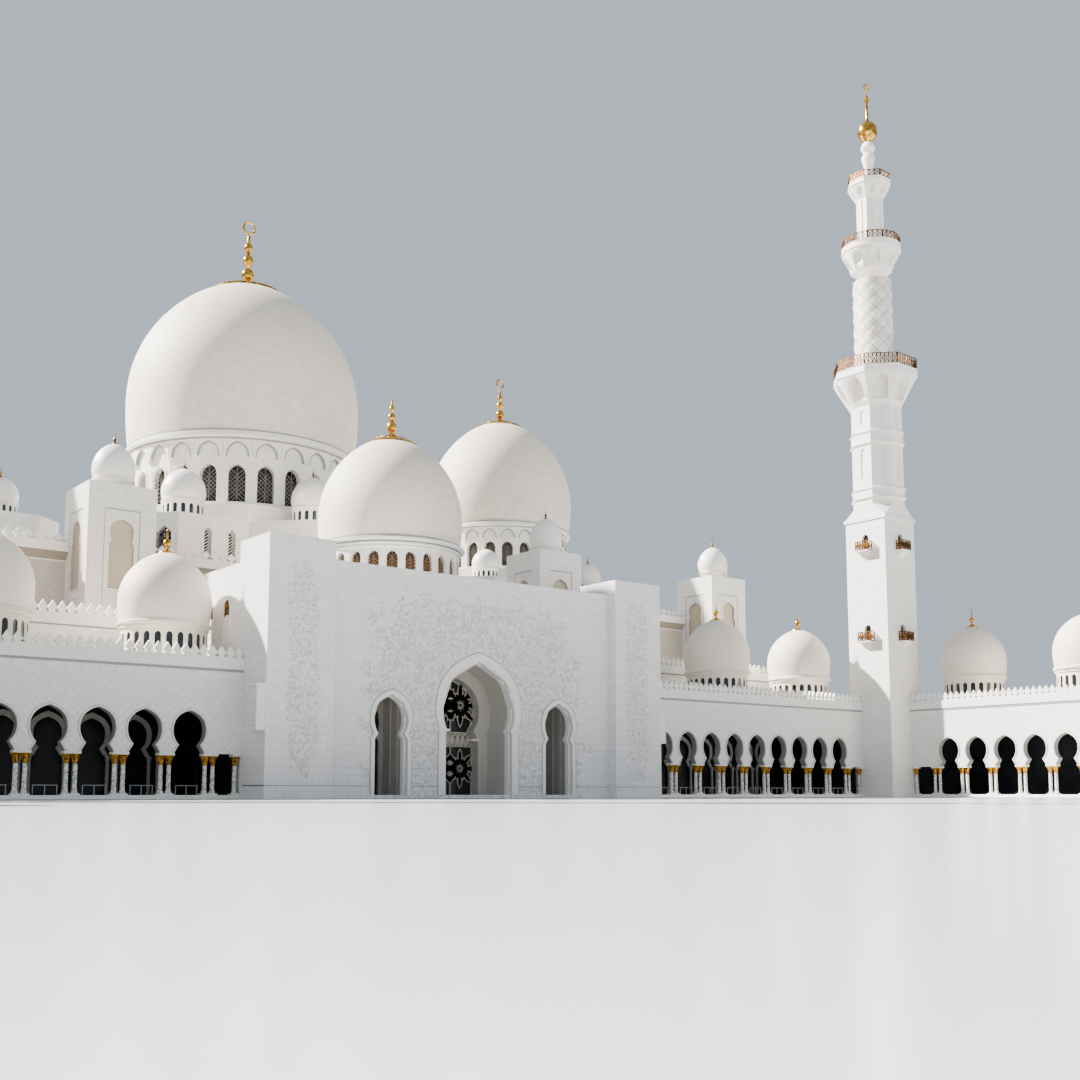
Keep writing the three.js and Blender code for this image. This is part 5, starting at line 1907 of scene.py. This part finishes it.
@dataclass(frozen=True)
class Gallery:
    """A minaret's gallery: a flaring bracket with a niche in each side, and a deck with a gilt rail."""

    foot: float
    under: float
    deck: float
    rail_top: float
    radius: float
    shaft: float
    sides: int
    niche: RoundArch
    core: float
    posts: int

    def stone(self) -> Part:
        """Turns the bracket and the deck, and cuts the niches."""
        edge, shaft, foot = self.radius - 0.16, self.shaft, self.foot
        profile = [(0, foot), (shaft + 0.02, foot), (edge, self.under), (edge, self.under + 0.12),
                   (self.radius, self.under + 0.2), (self.radius, self.deck - 0.34),
                   (edge + 0.06, self.deck - 0.28), (edge + 0.06, self.deck - 0.14),
                   (self.radius, self.deck - 0.08), (self.radius, self.deck), (0, self.deck)]
        made = Bench.turned(profile, self.sides, turn=HALF_SIDE)
        reach = self.radius + 0.5
        niche = Bench.upright(self.niche.outline(), -reach, reach - self.core)
        return Bench.carve(made, Bench.around(niche, 8))

    def rims(self) -> Part:
        """Lays a thin rim at the back of each niche."""
        return Bench.around(Bench.upright(self.niche.band(-0.1, 0.02), -self.core - 0.16, 0.2), 8)

    def rail(self) -> Part:
        """Builds its rail, one straight length to a side."""
        sides = 8 if self.sides == 8 else 12
        apothem = (self.radius - 0.1) * math.cos(math.pi / sides)
        length = 2 * apothem * math.tan(math.pi / sides)
        height = self.rail_top - self.deck
        panel = Bench.join(Minaret.rail(length, self.deck, (0, apothem), self.posts, height))
        return Bench.around(panel, sides, 0, 0, 0 if sides == 8 else math.pi / sides)


@dataclass(frozen=True)
class Minaret:
    """A minaret: a square shaft with balconies, an octagon, a scaled cylinder and three galleries."""

    x: float = 73.0
    y: float = 3.35
    half: float = 3.43
    square_top: float = 39.85
    octagon_from: float = 41.7
    octagon: float = 3.4
    belts: tuple[tuple[float, float], ...] = ((42.45, 44.3), (50.45, 52.7))
    slots: tuple[RoundArch, ...] = (RoundArch(0.42, 45.6, 50.0), RoundArch(0.3, 53.5, 55.7))
    first: Gallery = Gallery(foot=56.3, under=60.3, deck=61.6, rail_top=63.2, radius=6.15, shaft=3.68,
                             sides=8, niche=RoundArch(1.12, 57.0, 60.4), core=3.5, posts=9)
    cylinder: float = 2.7
    second: Gallery = Gallery(foot=77.3, under=80.0, deck=81.1, rail_top=82.3, radius=4.3, shaft=2.8,
                              sides=24, niche=RoundArch(0.78, 77.6, 79.8), core=2.95, posts=4)
    upper: float = 2.0
    third: Gallery = Gallery(foot=88.5, under=90.3, deck=91.2, rail_top=92.2, radius=3.2, shaft=2.0, sides=8,
                             niche=RoundArch(0.42, 88.9, 90.15), core=1.95, posts=4)
    balconies: tuple[float, ...] = (21.9, 34.95)
    door: RoundArch = RoundArch(0.56, 0, 2.45)
    rows: int = 27
    rise: float = 0.525
    low: float = 62.67

    def raised(self, level: float, grow: float = 0) -> Outline:
        """The outline of a balcony's door."""
        return [(x, z + level) for x, z in self.door.outline(grow)]

    def square(self) -> tuple[Parts, Parts]:
        """Builds the square shaft with its doorways cut, and its plain edges."""
        h = self.half
        shaft = Bench.block((-h, -h, 0), (h, h, self.square_top), 0.07)
        cutters = [Bench.upright(self.raised(level), -h - 0.3, 0.85) for level in self.balconies]
        shaft = Bench.carve(shaft, Bench.around(Bench.join(cutters), 4))
        trim = [Bench.upright([(x, z + level) for x, z in self.door.band(0, 0.12)], -h - 0.05, 0.1)
                for level in self.balconies]
        trim.append(Bench.block((-h - 0.02, -h - 0.12, 0), (h + 0.02, -h + 0.1, 1.1), 0.04))
        trim.append(WallLine((-h - 0.16, -h), (h + 0.16, -h)).moulding(COPING, self.square_top - 0.5, 2.6))
        return [shaft], [Bench.around(Bench.join(trim), 4)]

    def balcony(self) -> tuple[Parts, Parts]:
        """Builds the balconies of every face, each on one tapered corbel, and their gilt rails."""
        stone, rails = [], []
        y = -self.half
        for level in self.balconies:
            stone.append(Bench.block((-1.1, y - 1.1, level - 0.16), (1.1, y + 0.1, level), 0.03))
            bracket = ((0.8, 0.85, 0.14), (0.8, -0.1, 0.14), (0.66, 0.6, 0.45), (0.3, 0.04, 1.15),
                       (0.3, -0.1, 1.15))
            stone.append(Bench.hull([(x * part, y - out, level - drop) for x in (-1, 1)
                                     for part, out, drop in bracket]))
            rails += self.rail(2.1, level, (0, 1.02 - y), 6, 1.35)
            for side in (-1, 1):
                panel = Bench.join(self.rail(1.0, level, (0, 1.02), 3, 1.35))
                rails.append(Bench.scatter(panel, [placed(0, y - 0.5, side * QUARTER)]))
        return [Bench.around(Bench.join(stone), 4)], [Bench.around(Bench.join(rails), 4)]

    @staticmethod
    def rail(length: float, level: float, at: tuple[float, float], posts: int, height: float) -> Parts:
        """Builds one straight length of rail with crossed bars between its posts.

        Args:
            length: Its length.
            level: The floor that it stands on.
            at: Its middle along X, and how far it stands in front of the axis.
            posts: How many posts it has.
            height: Its height.

        Returns:
            Its bars and posts.
        """
        x, out = at
        low, high = x - length / 2, x + length / 2
        parts = [Bench.block((low, -out - 0.06, level + height - 0.12), (high, -out + 0.06, level + height),
                             0.02),
                 Bench.block((low, -out - 0.04, level + 0.04), (high, -out + 0.04, level + 0.14), 0)]
        gap = (length - 0.1) / (posts - 1)
        post = Bench.block((low, -out - 0.05, level), (low + 0.1, -out + 0.05, level + height), 0)
        parts.append(Bench.row(post, posts, (gap, 0, 0)))
        rise = height - 0.26
        reach = math.hypot(gap, rise)
        bar = Bench.block((-reach / 2, -out - 0.02, -0.04), (reach / 2, -out + 0.02, 0.04), 0)
        places = []
        for i in range(posts - 1):
            middle = Matrix.Translation((low + 0.05 + (i + 0.5) * gap, 0, level + 0.14 + rise / 2))
            for side in (-1, 1):
                places.append(middle @ Matrix.Rotation(side * math.atan2(rise, gap), 4, "Y"))
        parts.append(Bench.scatter(bar, places))
        return parts

    def octagon_part(self) -> Parts:
        """Builds the shoulder, the octagonal shaft with belts and slim recesses, and the first gallery."""
        radius = self.octagon / math.cos(HALF_SIDE)
        h = self.half
        spots = [(x, y, self.square_top - 0.02) for x, y in ((-h, -h), (h, -h), (h, h), (-h, h))]
        spots += [(x, y, self.octagon_from) for x, y in octagon(self.octagon)]
        profile = [(0, self.octagon_from - 0.3), (radius, self.octagon_from - 0.3)]
        proud, sunk = radius + 0.26, radius + 0.1
        for low, high in self.belts:
            profile += [(radius, low), (proud, low + 0.16), (proud, low + 0.4), (sunk, low + 0.5),
                        (sunk, high - 0.5), (proud, high - 0.4), (proud, high - 0.16), (radius, high)]
        profile += [(radius, self.first.foot + 0.2), (0, self.first.foot + 0.2)]
        shaft = Bench.turned(profile, 8, turn=HALF_SIDE)
        cutters = [Bench.upright(slot.outline(), -self.octagon - 0.4, 0.54) for slot in self.slots]
        shaft = Bench.carve(shaft, Bench.around(Bench.join(cutters), 8))
        return [Bench.hull(spots), shaft, self.first.stone(), self.first.rims()]

    def cylinder_part(self) -> Parts:
        """Builds the cylinder with its low diamond scales."""
        levels = [self.low + (i - 2) * self.rise for i in range(self.rows + 1)]
        shaft = Bench.turned([(0, levels[0]), *((self.cylinder, z) for z in levels), (0, levels[-1])], 32)
        Bench.select(shaft)
        for raised, size in ((2, 1.07), (1, 1.035)):
            bpy.ops.object.mode_set(mode="EDIT")
            bpy.ops.mesh.select_mode(type="VERT")
            bpy.ops.mesh.select_all(action="DESELECT")
            bpy.ops.object.mode_set(mode="OBJECT")
            for corner in shaft.data.vertices:
                row = round((corner.co.z - self.low) / self.rise)
                step = round(math.atan2(corner.co.y, corner.co.x) / FULL_TURN * 32)
                on_skin = math.hypot(corner.co.x, corner.co.y) > 1
                corner.select = on_skin and self.scale_height(step, row) == raised
            bpy.ops.object.mode_set(mode="EDIT")
            bpy.ops.transform.resize(value=(size, size, 1), center_override=(0, 0, 0))
        bpy.ops.mesh.select_all(action="SELECT")
        bpy.ops.mesh.quads_convert_to_tris(quad_method="SHORTEST_DIAGONAL", ngon_method="BEAUTY")
        return [Bench.leave(shaft)]

    @staticmethod
    def scale_height(step: int, row: int) -> int:
        """How high a corner of the cylinder's grid stands on its diamond: 2 on the middle, 0 on the edge."""
        right, left = (step + row) % 4, (row - step) % 4
        return min(right, 4 - right, left, 4 - left)

    def upper_part(self) -> Parts:
        """Builds the second gallery, the slim upper shaft, the third gallery and the two bulbs."""
        profile = [(0, 81.0), (self.upper + 0.15, 81.0), (self.upper + 0.15, 81.7), (self.upper, 81.8),
                   (self.upper, self.third.foot + 0.2), (0, self.third.foot + 0.2)]
        shaft = Bench.turned(profile, 8, turn=HALF_SIDE)
        slot = Bench.upright(RoundArch(0.14, 82.6, 88.2).outline(), -self.upper - 0.2, 0.5)
        shaft = Bench.carve(shaft, Bench.around(slot, 8))
        bulbs = [(0, 91.1), (0.62, 91.1), (0.62, 93.6), (0.8, 94.4), (1.0, 95.1), (0.9, 95.6), (0.62, 96.0),
                 (0.85, 96.3), (1.08, 96.8), (0.95, 97.3), (0.62, 97.75), (0, 97.8)]
        stones = [part for gallery in (self.second, self.third) for part in (gallery.stone(), gallery.rims())]
        return [shaft, *stones, Bench.turned(bulbs, 24)]

    def crown(self) -> Parts:
        """Turns the gilded ball, spire and bead, and sets the moon ring on them."""
        profile = [(0, 97.8), (0.56, 97.8), (0.62, 97.95), (1.05, 98.3), (1.36, 98.8), (1.47, 99.4),
                   (1.38, 100.1), (1.05, 100.6), (0.6, 100.9), (0.36, 101.15), (0.24, 101.6), (0.18, 103.9),
                   (0.26, 104.15), (0.4, 104.6), (0.28, 104.95), (0.12, 105.3), (0, 105.95)]
        return [Bench.turned(profile, 24), Bench.hoop(0.5, 0.12, (0, 0, 106.45))]

    def build(self) -> None:
        """Builds and hands over both minarets."""
        shaft, trim = self.square()
        stone, rails = self.balcony()
        rails += [gallery.rail() for gallery in (self.first, self.second, self.third)]
        panes = [Bench.upright(self.raised(level, 0.01), -self.half + 0.35, 0.1) for level in self.balconies]
        kinds = [
            ("shaft", shaft, WALL, ["minaret_{}"]),
            ("trim", trim + stone, PLAIN, []),
            ("octagon", self.octagon_part(), PLAIN, ["minaret_{}"]),
            ("cylinder", self.cylinder_part(), SCALES, ["minaret_{}"]),
            ("upper", self.upper_part(), PLAIN, ["minaret_{}"]),
            ("rails", rails, RAIL_BRONZE, []),
            ("door_panes", [Bench.around(Bench.join(panes), 4)], GLASS, []),
            ("gold", self.crown(), GOLD, ["minaret_crown_{}"]),
        ]
        for kind, parts, finish, nodes in kinds:
            Bench.finish_pair(f"minaret_{kind}", parts, finish, nodes, placed(self.x, self.y))


@dataclass(frozen=True)
class Surroundings:
    """The floor, the light and the camera."""

    eye: Spot = (-7.835, -13.684, 0.055)
    pitch: float = 96.54
    heading: float = -38.7
    lens: float = 42.17
    shift_up: float = 0.1

    def floor(self) -> None:
        """Lays a plain pale floor with a faint gloss."""
        Bench.clear()
        bpy.ops.mesh.primitive_plane_add(size=240, location=(0, 0, -0.002))
        made = bpy.context.object
        made.name = "floor"
        material = bpy.data.materials.new("pale_floor")
        material.use_nodes = True
        shader = material.node_tree.nodes["Principled BSDF"]
        shader.inputs["Base Color"].default_value = linear("D9D8D6")
        shader.inputs["Roughness"].default_value = 0.2
        made.data.materials.append(material)
        Bench.select(made)
        bpy.ops.object.transform_apply(location=True)

    def light(self) -> None:
        """Sets a low key from the left and behind, and a pale sky all round."""
        Bench.clear()
        bpy.ops.object.light_add(type="SUN")
        sun = bpy.context.object
        sun.name = "key"
        sun.data.energy = 26.0
        sun.data.angle = math.radians(2)
        sun.data.color = (1.0, 0.95, 0.88)
        sun.rotation_euler = Vector((-0.5, 0.62, 0.6)).to_track_quat("Z", "Y").to_euler()
        world = bpy.data.worlds.new("soft_sky")
        world.use_nodes = True
        world.node_tree.nodes["Background"].inputs["Color"].default_value = linear("D5E0EE")
        world.node_tree.nodes["Background"].inputs["Strength"].default_value = 0.86
        bpy.context.scene.world = world

    def camera(self) -> None:
        """Stands the camera low on the courtyard."""
        Bench.clear()
        rotation = (math.radians(self.pitch), 0, math.radians(self.heading))
        bpy.ops.object.camera_add(location=self.eye, rotation=rotation)
        camera = bpy.context.object
        camera.data.lens = self.lens
        camera.data.sensor_width = 36
        camera.data.shift_y = self.shift_up
        camera.data.clip_start = 0.01
        camera.data.clip_end = 500
        bpy.context.scene.camera = camera

    def build(self) -> None:
        """Sets up the floor, the light and the camera."""
        self.floor()
        self.light()
        self.camera()


def clad_nodes() -> None:
    """Gives the nodes that stay in sight their finishes."""
    glass = ["portal_screen", "main_tier_glass", "main_dome_glass", "side_dome_glass_left",
             "side_dome_glass_right", "entrance_dome_glass"]
    slabs = [f"{node}_{side}" for node in ("gallery", "arcade_roof", "court_arcade_roof")
             for side in ("left", "right")]
    for finish, nodes in ((CARVED_WALL, ["portal_block"]), (HALL_WALL, ["prayer_hall_walls"]), (GLASS, glass),
                          (WALL, ["prayer_hall_roof", *slabs])):
        for node in nodes:
            for place in bpy.data.objects[node].material_slots:
                place.material = finish.material()
            log.info("%s: %s", node, finish.name)


def main() -> None:
    """Builds the sub-assemblies in order."""
    logging.basicConfig(level=logging.INFO, format="%(name)s %(message)s")
    Surroundings().build()
    clad_nodes()
    main_dome = Dome(
        x=0, y=60, radius=16.4, foot=15.9, drum=15.5, shell=0.9, base=37.9, rim=47.7, rim_radius=16.45,
        widest=55.5, apex=74.5, seat=3.1, sill=38.8, arch=43.9, window_half=1.15, scallops=(44.9, 46.95),
        windows=26,
    )
    gold = Finial(cap=3.15, foot=main_dome.seat_level(), neck=0.25,
                  bulbs=((76.4, 0.9), (78.6, 0.75), (80.6, 0.62)), tip=82.86, ring=0.9)
    # Window lattices in dark grey painted as shade.
    main_dome.build("main_dome", "main_gold_finial", "main_finial", gold, 5.0, 0.75, 0.07, PAINTED_SHADE_LATTICE)
    for side, x in (("left", -46.5), ("right", 46.5)):
        dome = Dome(
            x=x, y=60, radius=11.95, foot=11.4, drum=10.85, shell=0.7, base=35.6, rim=42.9, rim_radius=11.75,
            widest=47.7, apex=62.7, seat=2.8, sill=36.3, arch=40.3, window_half=0.92, scallops=(40.8, 42.3),
            steps=60,
        )
        gold = Finial(cap=2.85, foot=dome.seat_level(), neck=0.2,
                      bulbs=((64.1, 0.7), (65.7, 0.55), (67.0, 0.4)), tip=68.79, ring=0.72)
        # Window lattices in dark grey painted as shade.
        dome.build(f"side_dome_{side}", f"side_gold_finial_{side}", f"side_finial_{side}", gold, 3.7, 0.6,
                   0.06, PAINTED_SHADE_LATTICE)
    dome = Dome(
        x=0, y=19.5, radius=8.5, foot=8.3, drum=8.05, shell=0.6, base=22.0, rim=28.9, rim_radius=8.85,
        widest=32.2, apex=42.7, seat=2.3, sill=23.6, arch=27.6, window_half=0.65, steps=60,
    )
    gold = Finial(cap=2.35, foot=dome.seat_level(), neck=0.16,
                  bulbs=((44.05, 0.6), (45.25, 0.46), (46.3, 0.3)), tip=47.6)
    dome.build("entrance_dome", "entrance_gold_finial", "entrance_finial", gold, 3.1, 0.45, 0.07,
               BROWN_LATTICE)
    Portal().build()
    Tiers().build()
    HallWalls().build()
    Tower().build()
    front = Arcade(
        place=placed(47.41, 4.9), half=22.157, depth=14.097, bays=9, pairs=10, domes=(-17.0, 0.0, 17.0),
        dome_y=6.9, plinth_back=14.097,
    )
    front.build("arcade", "arcade_finial")
    court = Arcade(
        place=placed(74.05, -14.5, -QUARTER), half=14.417, depth=13.8, bays=7, pairs=6, domes=(-8.5, 8.5),
        dome_y=6.9, plinth_back=14.2, outer_wall=True, blind=1,
    )
    court.build("court_arcade", "court_finial")
    Minaret().build()
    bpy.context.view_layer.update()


if __name__ == "__main__":
    main()
